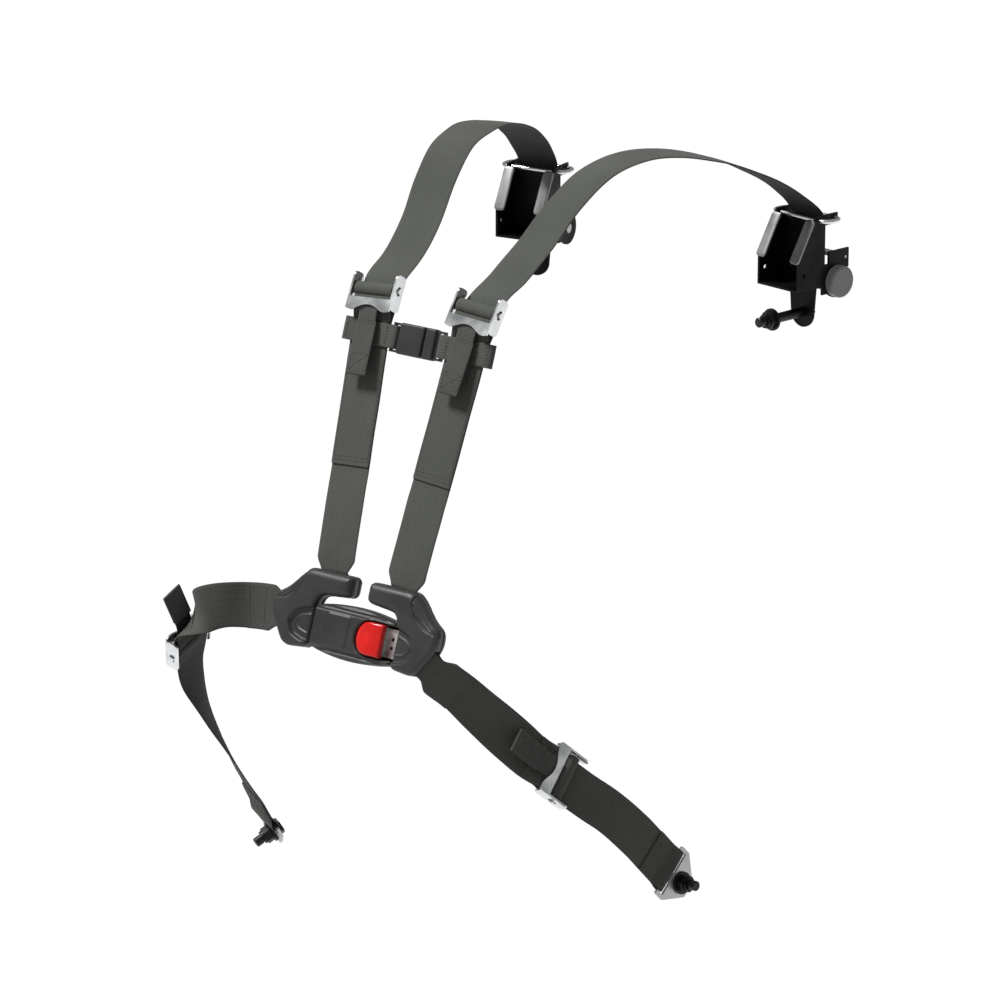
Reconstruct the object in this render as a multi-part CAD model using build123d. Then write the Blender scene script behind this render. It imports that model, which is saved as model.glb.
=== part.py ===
from build123d import *
import math
import os

# Four-point racing harness with two rear retractors, in its worn shape.
#
# Millimetres. +X is the wearer's left, +Y runs from the chest to the back, +Z is up.
# The origin is the centre of the lap buckle, in the plane of its latch plates.
# Side -1 is the half at -X ("left" in the names, as seen from the front) and side 1 the
# half at +X ("right").  The two halves join at the lap buckle and at the chest clip.

os.makedirs("parts", exist_ok=True)

# ---------------------------------------------------------------- driving dimensions
WEB_WIDTH = 50.8  # two-inch webbing
WEB_THICK = 1.6
WEB_THROAT = 35.0  # width of a strap folded to pass a latch plate's slot
CHEST_WEB = 25.4  # one-inch chest webbing
TAB_WIDTH = 27.0
BAR_R = 3.0  # bars that a strap's end is sewn round
LOOP_GAP = 0.35  # air between a sewn loop and its bar
LOOP_IN_R = BAR_R + LOOP_GAP
LOOP_OUT_R = LOOP_IN_R + WEB_THICK
LOOP_MID_R = LOOP_IN_R + WEB_THICK / 2

FRONT_LEAN = 20.0  # the buckle and the lower shoulder straps lean back by this angle
PLATE_THICK = 2.5  # latch plates
SHELL_WALL = 2.4
BUCKLE_LEFT, BUCKLE_RIGHT = -54.0, 55.0
BUCKLE_FRONT, BUCKLE_BACK = -13.0, 10.0
BUCKLE_END_H, BUCKLE_MID_H = 23.0, 29.5  # half heights
PLATEAU_H = 21.5  # half height of the buckle's raised front
COVER_FRONT, COVER_BACK = -11.0, 8.5
BUTTON_LEFT, BUTTON_RIGHT, BUTTON_HALF = 8.0, 44.0, 18.0
BUTTON_PROUD = 3.0
BUTTON_TRAVEL = 3.5
BUTTON_CLEAR = 0.4
TONGUE_HALF = 15.5
SLOT_CLEAR = 0.5
SPLIT_Y = 1.0  # where the buckle's two shells meet

BOLT_R = 5.55  # 7/16 inch seat-belt bolt
BOLT_HOLE_R = 5.62
HEX_FLATS = 17.5
FLANGE_R = 12.5
THREAD_TIP = 10.0  # bolt that stands out of its nut
GROOVE = (0.3, 1.5)  # retaining groove's reach from the nut
GROOVE_R = 4.9
LAP_GRIP = 3.6
RETRACTOR_GRIP = 50.0

SHOULDER_BAR = (68, 117, 328)  # centre of a shoulder adjuster's fixed bar
SHOULDER_FOOT = (47.5, 55)  # the latch plate's shoulder bar, in the buckle's plane
SHOULDER_TILT = 10.5  # degrees that a shoulder adjuster leans back from its strap
CHEST_DOWN = 29.0  # from that bar down to the chest strap
RETRACTOR_AT = (187, 555, 343)  # front of the retractor's back plate
RETRACTOR_YAW = 9.0

# Stations of the free straps: (centre, direction across the webbing).
UPPER_STRAP = [
    ((70, 137, 353), (1, -0.05, 0)),
    ((73, 170, 371), (1, -0.05, 0)),
    ((80, 212, 403), (1, -0.1, 0)),
    ((89, 247, 438), (1, -0.15, 0)),
    ((100, 290, 467), (1, -0.2, 0)),
    ((112, 344, 477), (1, -0.25, 0)),
    ((126, 396, 472), (1, -0.3, 0)),
    ((143, 448, 458), (1, -0.3, 0)),
    ((161, 494, 438), (1, -0.28, 0)),
    ((178, 535, 412), (1, -0.24, 0)),
]
LAP_SLOT = {1: (93, -7), -1: (-92, 5)}  # latch plate's lap bars, in the buckle's plane
LAP_SLOT_ACROSS = {1: (0.66, 0.75), -1: (0, 1)}
LAP_FRONT = {
    1: [
        ((103, -4, -15), (0.66, 0.25, 0.7)),
        ((112, 5, -28), (0.64, 0.18, 0.73)),
        ((122, 17, -41), (0.62, 0.15, 0.75)),
        ((145, 36, -69), (0.48, 0.3, 0.76)),
        ((166, 56, -97), (0.28, 0.5, 0.75)),
        ((181, 76, -121), (0.08, 0.66, 0.7)),
    ],
    -1: [
        ((-106, 1.7, 4.7), (0, 0.34, 0.94)),
        ((-122, 1, 6), (0, 0.25, 0.96)),
        ((-147, -5, 5), (0, 0.12, 0.98)),
        ((-175, -20, 3), (0.05, 0.05, 1)),
        ((-197, -28, -6), (0.15, 0.2, 0.95)),
        ((-210, -27, -19), (0.18, 0.5, 0.85)),
    ],
}
LAP_REAR = {
    1: [
        ((205, 116, -161), (-0.06, 0.72, 0.68)),
        ((212, 130, -174), (-0.08, 0.7, 0.68)),
        ((222, 156, -196), (-0.06, 0.66, 0.7)),
        ((234, 184, -226), (-0.02, 0.6, 0.78)),
        ((242, 208, -254), (0, 0.58, 0.8)),
        ((247, 227, -276), (0, 0.6, 0.8)),
    ],
    -1: [
        ((-231, -6, -68), (0.05, 0.9, 0.45)),
        ((-238, 2, -88), (-0.12, 0.9, 0.42)),
        ((-243, 17, -116), (-0.4, 0.86, 0.3)),
        ((-244, 36, -153), (-0.62, 0.74, 0.2)),
        ((-244, 73, -214), (-0.8, 0.55, 0.1)),
        ((-244, 110, -272), (-0.88, 0.44, 0.05)),
        ((-244, 126, -297), (-0.9, 0.42, 0.05)),
    ],
}
LAP_BAR = {1: (191, 92, -136), -1: (-219, -20, -38)}
LAP_BAR_ACROSS = {1: (-0.02, 0.71, 0.68), -1: (0.14, 0.72, 0.68)}
LAP_TAB = {1: (60.0, 2.0), -1: (50.0, 18.0)}  # length and lift of the pull tabs
BOLT_SIGN = {1: -1, -1: 1}  # which face of a lap anchor plate its nut is on

SIDE_NAME = {1: "right", -1: "left"}
ALIGN_BASE = (Align.CENTER, Align.CENTER, Align.MIN)


# ---------------------------------------------------------------- small helpers
def save(node, *solids):
    """Write one node's solids to its STEP file."""
    shape = solids[0] if len(solids) == 1 else Compound(children=list(solids))
    export_step(shape, f"parts/{node}.step")


def one(shape):
    """The single solid of a boolean's result."""
    solids = shape.solids()
    if len(solids) != 1:
        raise ValueError(f"expected one solid, got {[round(s.volume) for s in solids]}")
    return solids[0]


def local(origin, across, along):
    """A frame on a strap: x across the webbing, y along it, z its outer normal."""
    along = Vector(*along).normalized()
    across = Vector(*across)
    across = (across - along * across.dot(along)).normalized()
    return Plane(origin=origin, x_dir=across, z_dir=across.cross(along))


def mirrored(point, side):
    """A point or direction of the right half, flipped for the left half."""
    return (side * point[0], point[1], point[2])


def across(face, width):
    """Extrude a profile drawn in YZ evenly to both sides of the YZ plane."""
    return extrude(Plane.YZ * face, amount=width / 2, both=True)


def upright(face, y_low, y_high):
    """Extrude an outline drawn in XZ from one Y to another."""
    drawn = Plane(origin=(0, y_high, 0), x_dir=(1, 0, 0), z_dir=(0, -1, 0)) * face
    return extrude(drawn, amount=y_high - y_low)


def polygon(points):
    """A closed outline."""
    return make_face(Polyline(points, close=True))


def box(low, high):
    """A box from its lowest to its highest corner."""
    low, high = [[f(a, b) for a, b in zip(low, high)] for f in (min, max)]
    size = [h - l for l, h in zip(low, high)]
    middle = [(h + l) / 2 for l, h in zip(low, high)]
    return Pos(*middle) * Box(*size)


def rod(start, end, radius):
    """A round bar between two points."""
    start, end = Vector(*start), Vector(*end)
    return Solid.make_cylinder(radius, (end - start).length, Plane(origin=start, z_dir=end - start))


def ribbon(stations, widths=None):
    """A strip of webbing through its stations, one straight length from each to the next."""
    points = [Vector(*point) for point, _ in stations]
    sections = []
    for i, (_, width_dir) in enumerate(stations):
        ahead = points[min(i + 1, len(points) - 1)] - points[max(i - 1, 0)]
        here = local(tuple(points[i]), width_dir, tuple(ahead))
        half_w = (widths[i] if widths else WEB_WIDTH) / 2
        half_t = WEB_THICK / 2
        corners = [(-half_w, -half_t), (half_w, -half_t), (half_w, half_t), (-half_w, half_t)]
        sections.append(Wire.make_polygon([here.from_local_coords((x, 0, z)) for x, z in corners]))
    lengths = [Solid.make_loft(pair, ruled=True) for pair in zip(sections, sections[1:])]
    return lengths[0].fuse(*lengths[1:])


def sewn_loop(frame, width):
    """The loop that a strap's end makes round a bar at the frame's origin."""
    ring = across(Circle(LOOP_OUT_R) - Circle(LOOP_IN_R), width)
    return one(frame.location * ring)


def in_front(shape):
    """Place a shape drawn in the buckle's upright plane at its real lean."""
    return Rot(-FRONT_LEAN, 0, 0) * shape


def front_point(x, h):
    """A point of the buckle's plane, at height h along it."""
    lean = math.radians(FRONT_LEAN)
    return (x, h * math.sin(lean), h * math.cos(lean))


# ---------------------------------------------------------------- lap buckle
def barrel_outline(inset=0.0):
    """The buckle's outline: bulging long sides and straight ends."""
    left, right = BUCKLE_LEFT + inset, BUCKLE_RIGHT - inset
    end_h, mid_h = BUCKLE_END_H - inset, BUCKLE_MID_H - inset
    middle = (left + right) / 2
    edges = [
        ThreePointArc((left, end_h), (middle, mid_h), (right, end_h)),
        Line((right, end_h), (right, -end_h)),
        ThreePointArc((right, -end_h), (middle, -mid_h), (left, -end_h)),
        Line((left, -end_h), (left, end_h)),
    ]
    return make_face(edges)


def button_outline(grow=0.0, right=BUTTON_RIGHT):
    """The D shape of the release button: a round left end and a straight right end."""
    half = BUTTON_HALF + grow
    left = BUTTON_LEFT - grow
    centre = BUTTON_LEFT + BUTTON_HALF
    edges = [
        Line((right, -half), (right, half)),
        Line((right, half), (centre, half)),
        ThreePointArc((centre, half), (left, 0), (centre, -half)),
        Line((centre, -half), (right, -half)),
    ]
    return make_face(edges)


BUCKLE_POSTS = [(-36, 11), (-36, -11), (3, 12), (3, -12)]
CHANNEL_IN_Y, CHANNEL_OUT_Y = 1.6, 3.6
CHANNEL_IN_H, CHANNEL_OUT_H = 16.0, 18.0


def buckle_shells():
    """The two moulded halves of the buckle and the screws that join them."""
    barrel = upright(barrel_outline(), -9.0, BUCKLE_BACK)
    barrel = fillet(barrel.faces().filter_by(Axis.Y).edges(), 2.6)
    plateau = box((BUCKLE_LEFT, BUCKLE_FRONT, -PLATEAU_H), (BUCKLE_RIGHT, -6, PLATEAU_H))
    plateau = chamfer(plateau.faces().sort_by(Axis.Y)[0].edges(), 2.0)
    badge = box((-33, BUCKLE_FRONT - 0.6, -17), (-3, BUCKLE_FRONT + 1, 17))
    inner = upright(barrel_outline(SHELL_WALL), -6.6, BUCKLE_BACK - SHELL_WALL)
    inner_h = PLATEAU_H - 1.7
    inner = inner + box((BUCKLE_LEFT + 3, BUCKLE_FRONT + SHELL_WALL, -inner_h), (BUCKLE_RIGHT - 3, -6, inner_h))
    mouth_h = TONGUE_HALF + SLOT_CLEAR
    mouth_y = PLATE_THICK / 2 + SLOT_CLEAR
    shells = barrel + plateau + badge - inner
    shells = shells - box((-60, -mouth_y, -mouth_h), (-50, mouth_y, mouth_h))
    shells = shells - box((50, -mouth_y, -mouth_h), (60, mouth_y, mouth_h))
    hole = upright(button_outline(BUTTON_CLEAR, right=60), -20, BUCKLE_FRONT + SHELL_WALL + 0.5)
    hole = hole + box((50, -20, -BUTTON_HALF), (60, 0, BUTTON_HALF))
    rear_space = box((-100, SPLIT_Y, -100), (100, 50, 100))
    front = shells - rear_space - hole
    rear = shells & rear_space
    screws = []
    for x, z in BUCKLE_POSTS:
        front = front + rod((x, BUCKLE_FRONT + 1, z), (x, -CHANNEL_OUT_Y - 0.1, z), 2.6)
        front = front - rod((x, BUCKLE_FRONT + 3.5, z), (x, 0, z), 1.3)
        rear = rear + rod((x, CHANNEL_OUT_Y + 0.1, z), (x, BUCKLE_BACK - 1, z), 2.6)
        rear = rear - rod((x, 0, z), (x, 20, z), 1.6) - rod((x, BUCKLE_BACK - 2, z), (x, 20, z), 3.0)
        head = rod((x, BUCKLE_BACK - 2, z), (x, BUCKLE_BACK - 0.3, z), 2.8)
        screws.append(one(head + rod((x, BUCKLE_FRONT + 3.7, z), (x, BUCKLE_BACK - 1.5, z), 1.25)))
    save("buckle_front_shell", in_front(one(front)))
    save("buckle_rear_shell", in_front(one(rear)))
    save("buckle_screws", *[in_front(screw) for screw in screws])


def buckle_channel():
    """The steel channel that both latch plates sit in, with its sprung latch behind."""
    out_y, in_y = CHANNEL_OUT_Y, CHANNEL_IN_Y
    channel = box((-41, -out_y, -CHANNEL_OUT_H), (41, out_y, CHANNEL_OUT_H))
    channel = channel - box((-42, -in_y, -CHANNEL_IN_H), (42, in_y, CHANNEL_IN_H))
    channel = channel + box((8, out_y - 0.1, -6), (30, out_y + 1.4, 6))
    for x, z in BUCKLE_POSTS:
        channel = channel - rod((x, -10, z), (x, 10, z), 1.6)
    for x, z in BUTTON_SPRINGS:
        channel = channel + rod((x, -out_y - 1.4, z), (x, -out_y + 0.5, z), 1.2)
    save("buckle_channel", in_front(one(channel)))


BUTTON_SPRINGS = [(24, 8), (24, -8)]


def release_button():
    """The red button and the two springs behind it."""
    front = BUCKLE_FRONT - BUTTON_PROUD
    button = upright(button_outline(), front, -7.6)
    crown = rod((27, front + 30.0, -40), (27, front + 30.0, 40), 30.0)
    button = button & crown
    flange = upright(button_outline(1.5) & (Pos(27, 0) * Rectangle(36, 2 * BUTTON_HALF)), -9.4, -7.6)
    button = button + flange
    springs = []
    for x, z in BUTTON_SPRINGS:
        button = button - rod((x, -13, z), (x, -6, z), 2.9)
        helix = Helix(pitch=1.5, height=7.8, radius=1.9)
        section = Plane(origin=helix @ 0, z_dir=helix % 0) * Circle(0.35)
        coil = sweep(section, path=helix, is_frenet=True)
        stand = Plane(origin=(x, -12.2, z), x_dir=(1, 0, 0), z_dir=(0, 1, 0))
        springs.append(in_front(one(stand.location * coil)))
    save("release_button", in_front(one(button)))
    save("button_springs", *springs)


# ---------------------------------------------------------------- latch plates and covers
COVER_OUTLINE = [
    (11, 60), (70, 60), (78, 55), (98, 34), (112, 26), (114, 6), (90, -29), (60, -26), (57, -19),
    (57, 20), (52, 33), (11, 37),
]
PLATE_OUTLINE = [
    (25, 56.7), (70, 56.7), (76, 50), (98, 29), (109, 22), (111, 3), (87, -25.5), (62, -22), (61, 33),
    (52, 41), (25, 41),
]
COVER_POSTS = [(19, 48), (66, 26), (72, -17)]


def flip(points, side):
    """An outline of the right half, flipped for the left half."""
    return [(side * x, z) for x, z in points]


def lap_bar_frame(side):
    """Centre, width direction and outward direction of a latch plate's lap bar, in its plane."""
    centre = Vector(*LAP_SLOT[side])
    width_dir = Vector(*LAP_SLOT_ACROSS[side]).normalized()
    out = Vector(width_dir.Y, -width_dir.X)
    out = out if out.X * side > 0 else out * -1
    return centre, width_dir, out


def turned_box(centre, width_dir, out, span, reach, depth=40):
    """A block through the plate: span along a bar, reach = (from, to) outward from it."""
    middle = centre + out * (sum(reach) / 2)
    frame = Plane(origin=(middle.X, 0, middle.Y), x_dir=(width_dir.X, 0, width_dir.Y), z_dir=(0, 1, 0))
    return frame.location * Box(span, reach[1] - reach[0], depth)


def latch_plate(side):
    """The steel plate that joins a shoulder strap and a lap strap to the buckle."""
    half = PLATE_THICK / 2
    plate = upright(polygon(flip(PLATE_OUTLINE, side)), -half, half)
    if side == 1:
        tongue = box((14, -half, -TONGUE_HALF), (64, half, TONGUE_HALF))
        tongue = fillet(tongue.edges().filter_by(Axis.Y).group_by(Axis.X)[0], 4)
        tongue = tongue - box((20, -5, -8.5), (29, 5, 8.5))
        for z in (-4.6, 4.6):
            tongue = tongue - rod((50, -5, z), (50, 5, z), 2.0)
    else:
        tongue = box((-30, -half, -TONGUE_HALF), (-64, half, TONGUE_HALF))
        for x, z in BUCKLE_POSTS[:2]:
            tongue = tongue - rod((x, -5, z), (x, 5, z), 1.6)
    plate = plate + tongue
    foot = Vector(side * SHOULDER_FOOT[0], SHOULDER_FOOT[1])
    span = WEB_THROAT + 2.5
    plate = plate - turned_box(foot, Vector(1, 0), Vector(0, -1), span, (1.7, 8.0))
    centre, width_dir, out = lap_bar_frame(side)
    plate = plate - turned_box(centre, width_dir, out, span, (-8.0, -2.0))
    plate = plate - turned_box(centre, width_dir, out, 160, (2.0, 40))
    for x, z in COVER_POSTS:
        plate = plate - rod((side * x, -5, z), (side * x, 5, z), 3.2)
    save(f"{SIDE_NAME[side]}_latch_plate", in_front(one(plate)))


def covers(side):
    """The two moulded halves that snap together over a latch plate."""
    name = SIDE_NAME[side]
    outline = polygon(flip(COVER_OUTLINE, side))
    block = upright(outline, COVER_FRONT, COVER_BACK)
    block = fillet(block.edges().filter_by(Axis.Y), 3.0)
    block = fillet(block.faces().filter_by(Axis.Y).edges(), 2.0)
    inner = upright(offset(outline, amount=-SHELL_WALL), COVER_FRONT + SHELL_WALL, COVER_BACK - SHELL_WALL)
    shell = block - inner
    mouth_h = TONGUE_HALF + SLOT_CLEAR
    shell = shell - box((side * 50, -PLATE_THICK / 2 - SLOT_CLEAR, -mouth_h),
                        (side * 62, PLATE_THICK / 2 + SLOT_CLEAR, mouth_h))
    throat = WEB_THROAT / 2 + 1.5
    foot_x, foot_h = side * SHOULDER_FOOT[0], SHOULDER_FOOT[1]
    shell = shell - box((foot_x - throat, -6.0, foot_h - 8), (foot_x + throat, 6.0, 80))
    centre, width_dir, out = lap_bar_frame(side)
    mouth = turned_box(centre, width_dir, out, 2 * throat + 5, (0, 40), depth=12.6)
    shell = shell - mouth
    panel = polygon(flip([(58, 15), (73, 11), (83, 0), (74, -12), (58, -16)], side))
    shell = shell - upright(panel, COVER_FRONT - 1, COVER_FRONT + 1.2)
    rear_space = box((-200, 0, -100), (200, 50, 100))
    front, rear = shell - rear_space, shell & rear_space
    front = max(front.solids(), key=lambda s: s.volume)
    rear = max(rear.solids(), key=lambda s: s.volume)
    for x, z in COVER_POSTS:
        x = side * x
        front = front + rod((x, COVER_FRONT + 1.5, z), (x, 3.5, z), 1.6)
        rear = rear + rod((x, 1.4, z), (x, COVER_BACK - 1.5, z), 2.8) - rod((x, -1, z), (x, 5.0, z), 1.7)
    save(f"{name}_cover_front", in_front(one(front)))
    save(f"{name}_cover_rear", in_front(one(rear)))


# ---------------------------------------------------------------- strap adjusters
CHEEK_IN, CHEEK_OUT = 27.2, 29.4  # inner and outer half width of an adjuster
SLIDE_AT = (17.0, 3.0)  # the slide bar's centre, along and out from the fixed bar
SLIDE_R = 3.0
WRAP_OUT_R = 7.2


def adjuster_parts():
    """One adjuster in its own frame: pressed frame and slide bar."""
    cheek = Pos(14, 3.6) * RectangleRounded(40, 16.5, 5)
    cheek = cheek - Pos(*SLIDE_AT) * SlotOverall(10.5, 2 * SLIDE_R + 0.5)
    wall = extrude(Plane.YZ * cheek, amount=CHEEK_OUT - CHEEK_IN)
    frame = Pos(CHEEK_IN, 0, 0) * wall + Pos(-CHEEK_OUT, 0, 0) * wall
    frame = frame + rod((-CHEEK_IN - 1, 0, 0), (CHEEK_IN + 1, 0, 0), BAR_R)
    # The lip that is lifted to slacken the strap, with its waved edge.
    edges = [
        Line((CHEEK_OUT, 5), (-CHEEK_OUT, 5)),
        Line((-CHEEK_OUT, 5), (-CHEEK_OUT, -8)),
        Spline((-CHEEK_OUT, -8), (-19, -9), (-8, -4), (8, -4), (19, -9), (CHEEK_OUT, -8)),
        Line((CHEEK_OUT, -8), (CHEEK_OUT, 5)),
    ]
    frame = frame + Pos(0, 0, 10.0) * extrude(make_face(edges), amount=1.8)
    y, z = SLIDE_AT
    slide = rod((-31.5, y, z), (31.5, y, z), SLIDE_R)
    return one(frame), slide


def strap_tail(length, lift):
    """The strap's end: round the slide bar and out under the lip as a folded pull tab."""
    y, z = SLIDE_AT
    wrap = across(Pos(y, z) * (Circle(WRAP_OUT_R) - Circle(SLIDE_R + 0.3)), WEB_WIDTH)
    path = [(13, 8.3), (3, 8.3), (-8, 8.2), (-18, 7.4 + lift * 0.2), (-length, 7.4 + lift)]
    half = WEB_THICK / 2
    profile = polygon([(y, z - half) for y, z in path] + [(y, z + half) for y, z in path[::-1]])
    return one(wrap + across(profile, TAB_WIDTH))


def shoulder_strap_frame(side):
    """The lower shoulder strap's frame, at the adjuster's fixed bar."""
    bar = Vector(*mirrored(SHOULDER_BAR, side))
    foot = Vector(*front_point(side * SHOULDER_FOOT[0], SHOULDER_FOOT[1]))
    return local(bar, (1, 0, 0), tuple(bar - foot)), (bar - foot).length


def lap_frame(side):
    """The frame of a lap adjuster, with z away from the wearer."""
    u = tuple(Vector(*LAP_REAR[side][1][0]) - Vector(*LAP_BAR[side]))
    width_dir = Vector(*LAP_BAR_ACROSS[side])
    frame = local(LAP_BAR[side], tuple(width_dir), u)
    return frame if frame.z_dir.X * side > 0 else local(LAP_BAR[side], tuple(width_dir * -1), u)


def adjusters(side):
    """Place the shoulder and lap adjusters of one half."""
    name = SIDE_NAME[side]
    shoulder = shoulder_strap_frame(side)[0].rotated((-SHOULDER_TILT, 0, 0))
    places = {"shoulder": (shoulder, (64, -8.4)), "lap": (lap_frame(side), LAP_TAB[side])}
    for kind, (frame, tab) in places.items():
        body, slide = adjuster_parts()
        save(f"{name}_{kind}_adjuster_frame", frame.location * body)
        save(f"{name}_{kind}_slide_bar", frame.location * slide)
        save(f"{name}_{kind}_strap_tail", frame.location * strap_tail(*tab))
        print(f"{name} {kind} adjuster", [round(v, 2) for v in frame.origin], "axis",
              [round(v, 4) for v in frame.x_dir], "along", [round(v, 4) for v in frame.y_dir])


# ---------------------------------------------------------------- straps
CONVERGE = 22.0  # length over which the two layers at a bar close up
OVERLAY_LENGTH = 175.0


def lower_shoulder_strap(side):
    """The chest strap's long lower run, sewn round the adjuster's bar and the latch plate."""
    strap, length = shoulder_strap_frame(side)
    half, throat = WEB_WIDTH / 2, WEB_THROAT / 2
    upper = polygon([(0, LOOP_IN_R), (0, LOOP_OUT_R), (-CONVERGE, WEB_THICK), (-CONVERGE, 0)])
    lower = polygon([(0, -LOOP_OUT_R), (0, -LOOP_IN_R), (-CONVERGE, 0), (-CONVERGE, -WEB_THICK)])
    body = across(Circle(LOOP_OUT_R) - Circle(LOOP_IN_R), WEB_WIDTH)
    body = body + across(upper, WEB_WIDTH) + across(lower, WEB_WIDTH)
    outline = [
        (-half, -CONVERGE), (half, -CONVERGE), (half, -length + 22), (throat, -length + 10),
        (throat, -length + 4), (-throat, -length + 4), (-throat, -length + 10), (-half, -length + 22),
    ]
    body = body + Pos(0, 0, -WEB_THICK) * extrude(polygon(outline), amount=WEB_THICK)
    body = body + box((-half, -OVERLAY_LENGTH, 0), (half, -CONVERGE, WEB_THICK))
    foot = across(Circle(LOOP_OUT_R) - Circle(LOOP_IN_R), WEB_THROAT)
    body = body - across(Circle(BAR_R), 60) + Pos(0, -length, 0) * foot
    save(f"{SIDE_NAME[side]}_lower_shoulder_strap", one(strap.location * body))


def upper_shoulder_strap(side):
    """The arch from the adjuster over the shoulder into the retractor."""
    stations = [(mirrored(point, side), mirrored(w, side)) for point, w in UPPER_STRAP]
    case = retractor_plane(side)
    width_dir = tuple(case.x_dir * side)
    stations += [(tuple(case.from_local_coords((0, 7.0, z))), width_dir) for z in (40, 0, -32)]
    save(f"{SIDE_NAME[side]}_upper_shoulder_strap", ribbon(stations))


def lap_straps(side):
    """The strap from the latch plate to the lap adjuster, and on to the anchor."""
    name = SIDE_NAME[side]
    centre, width_dir, out = lap_bar_frame(side)
    bar_w = front_point(width_dir.X, width_dir.Y)
    plate_bar = local(front_point(centre.X, centre.Y), bar_w, front_point(out.X, out.Y))
    adjuster = lap_frame(side)
    stations = [loop_station(plate_bar, LOOP_MID_R), loop_station(plate_bar, 8.0)] + LAP_FRONT[side]
    stations += [loop_station(adjuster, -11.0), loop_station(adjuster, -LOOP_MID_R)]
    widths = [WEB_THROAT, WEB_THROAT] + [WEB_WIDTH] * (len(stations) - 2)
    widths[2] = WEB_THROAT + 3
    strap = ribbon(stations, widths) + sewn_loop(plate_bar, WEB_THROAT) + sewn_loop(adjuster, WEB_WIDTH)
    save(f"{name}_lap_front_strap", one(strap))
    anchor = anchor_plane(side)
    stations = LAP_REAR[side][:-1] + [loop_station(anchor, -11.0), loop_station(anchor, -LOOP_MID_R)]
    save(f"{name}_lap_rear_strap", one(ribbon(stations) + sewn_loop(anchor, WEB_WIDTH)))


def loop_station(frame, distance):
    """A strap station a distance along a bar's frame, parallel to the bar."""
    return tuple(frame.from_local_coords((0, distance, 0))), tuple(frame.x_dir)


# ---------------------------------------------------------------- chest strap and clip
CHEST_OUT, CHEST_SKIN = 102.0, 4.5  # reach to the outer side, half thickness of the sleeve
CLIP_BAR = (33.0, 35.0)  # the clip's webbing bars, out from the middle


def chest_plane():
    """The plane of the chest straps, level and leaning with the shoulder straps."""
    strap, _ = shoulder_strap_frame(1)
    at = strap.from_local_coords((0, -CHEST_DOWN, 0))
    along = strap.y_dir
    return local((0, at.Y, at.Z), (1, 0, 0), (0, along.Y, along.Z)), at.X


def chest_strap(side):
    """A keeper sleeve round the lower shoulder strap, with a short loop to the clip's bar."""
    plane, strap_x = chest_plane()
    skin, t = CHEST_SKIN, WEB_THICK
    ring_low = CLIP_BAR[0] - 5.6
    outer = box((side * ring_low, -CHEST_WEB / 2, -skin), (side * CHEST_OUT, CHEST_WEB / 2, skin))
    strap_hole = box((side * (strap_x - 27.3), -20, -skin + t), (side * (CHEST_OUT - t), 20, skin - t))
    bar_hole = box((side * (ring_low + t), -20, -skin + t), (side * (strap_x - 27.3 - t), 20, skin - t))
    save(f"{SIDE_NAME[side]}_chest_strap", one(plane.location * (outer - strap_hole - bar_hole)))


def chest_clip():
    """Side-release clip: the socket is on the left strap, the prongs on the right one."""
    plane, _ = chest_plane()
    bar_middle = sum(CLIP_BAR) / 2
    socket = fillet((Pos(-7.5, 0, 0) * Box(33, 34, 12)).edges(), 2.4)
    socket = socket - Pos(-5.5, 0, 0) * Box(30, 28, 6.4)
    for s in (1, -1):
        socket = socket - Pos(-6, s * 16, 0) * Box(13, 8, 6.4)
    loop = Pos(-bar_middle + 6, 0, 0) * Box(14, 32, 4.8) - Pos(-29.5, 0, 0) * Box(7, 26.8, 9)
    socket = one(socket + loop)
    base = fillet((Pos(17.5, 0, 0) * Box(14, 34, 11)).edges(), 2.4)
    loop = Pos(bar_middle - 6, 0, 0) * Box(14, 32, 4.8) - Pos(29.5, 0, 0) * Box(7, 26.8, 9)
    prongs = base + loop + Pos(2, 0, 0) * Box(20, 6, 4)
    for s in (1, -1):
        arm = [(12, 9), (-6, 9.5), (-10, 11.5), (-11.5, 13), (-2, 13.3), (1, 12), (12, 12)]
        prongs = prongs + extrude(polygon([(x, s * y) for x, y in arm]), amount=2.2, both=True)
    save("chest_clip_socket", plane.location * socket)
    save("chest_clip_prongs", plane.location * one(prongs))


# ---------------------------------------------------------------- bolts and lap anchors
ANCHOR_HOLE = 24.0  # from the webbing bar to the bolt


def bolt_and_nut(grip):
    """A flanged bolt along +Z from z = 0, a nut from z = grip, and the bolt's free end."""
    shank = grip + 13 + THREAD_TIP
    hexagon = RegularPolygon(HEX_FLATS / math.sqrt(3), 6)
    bolt = Pos(0, 0, -8.5) * extrude(hexagon, amount=6.5)
    bolt = bolt + Pos(0, 0, -2.2) * Cylinder(FLANGE_R, 2.2, align=ALIGN_BASE)
    bolt = bolt + Pos(0, 0, -1) * Cylinder(BOLT_R, shank + 1, align=ALIGN_BASE)
    bolt = chamfer(bolt.faces().sort_by(Axis.Z)[-1].edges(), 1.0)
    low, high = [grip + 13 + reach for reach in GROOVE]
    groove = rod((0, 0, low), (0, 0, high), BOLT_R + 2) - rod((0, 0, low - 1), (0, 0, high + 1), GROOVE_R)
    bolt = bolt - groove
    nut = Pos(0, 0, grip) * Cylinder(FLANGE_R, 2.2, align=ALIGN_BASE)
    nut = nut + Pos(0, 0, grip + 2) * extrude(hexagon, amount=8.0)
    nut = nut + Pos(0, 0, grip + 10) * Cylinder(7.8, 3.0, align=ALIGN_BASE)
    nut = nut - Pos(0, 0, grip - 1) * Cylinder(BOLT_R + 0.05, 40, align=ALIGN_BASE)
    return one(bolt), one(nut)


def anchor_plane(side):
    """The plane of a lap anchor plate: origin on its webbing bar, y towards the bolt."""
    last, width_dir = LAP_REAR[side][-1]
    along = (Vector(*last) - Vector(*LAP_REAR[side][-2][0])).normalized()
    bar = Vector(*last) + along * (LOOP_OUT_R + 0.4)
    return local(tuple(bar), width_dir, tuple(along))


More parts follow.
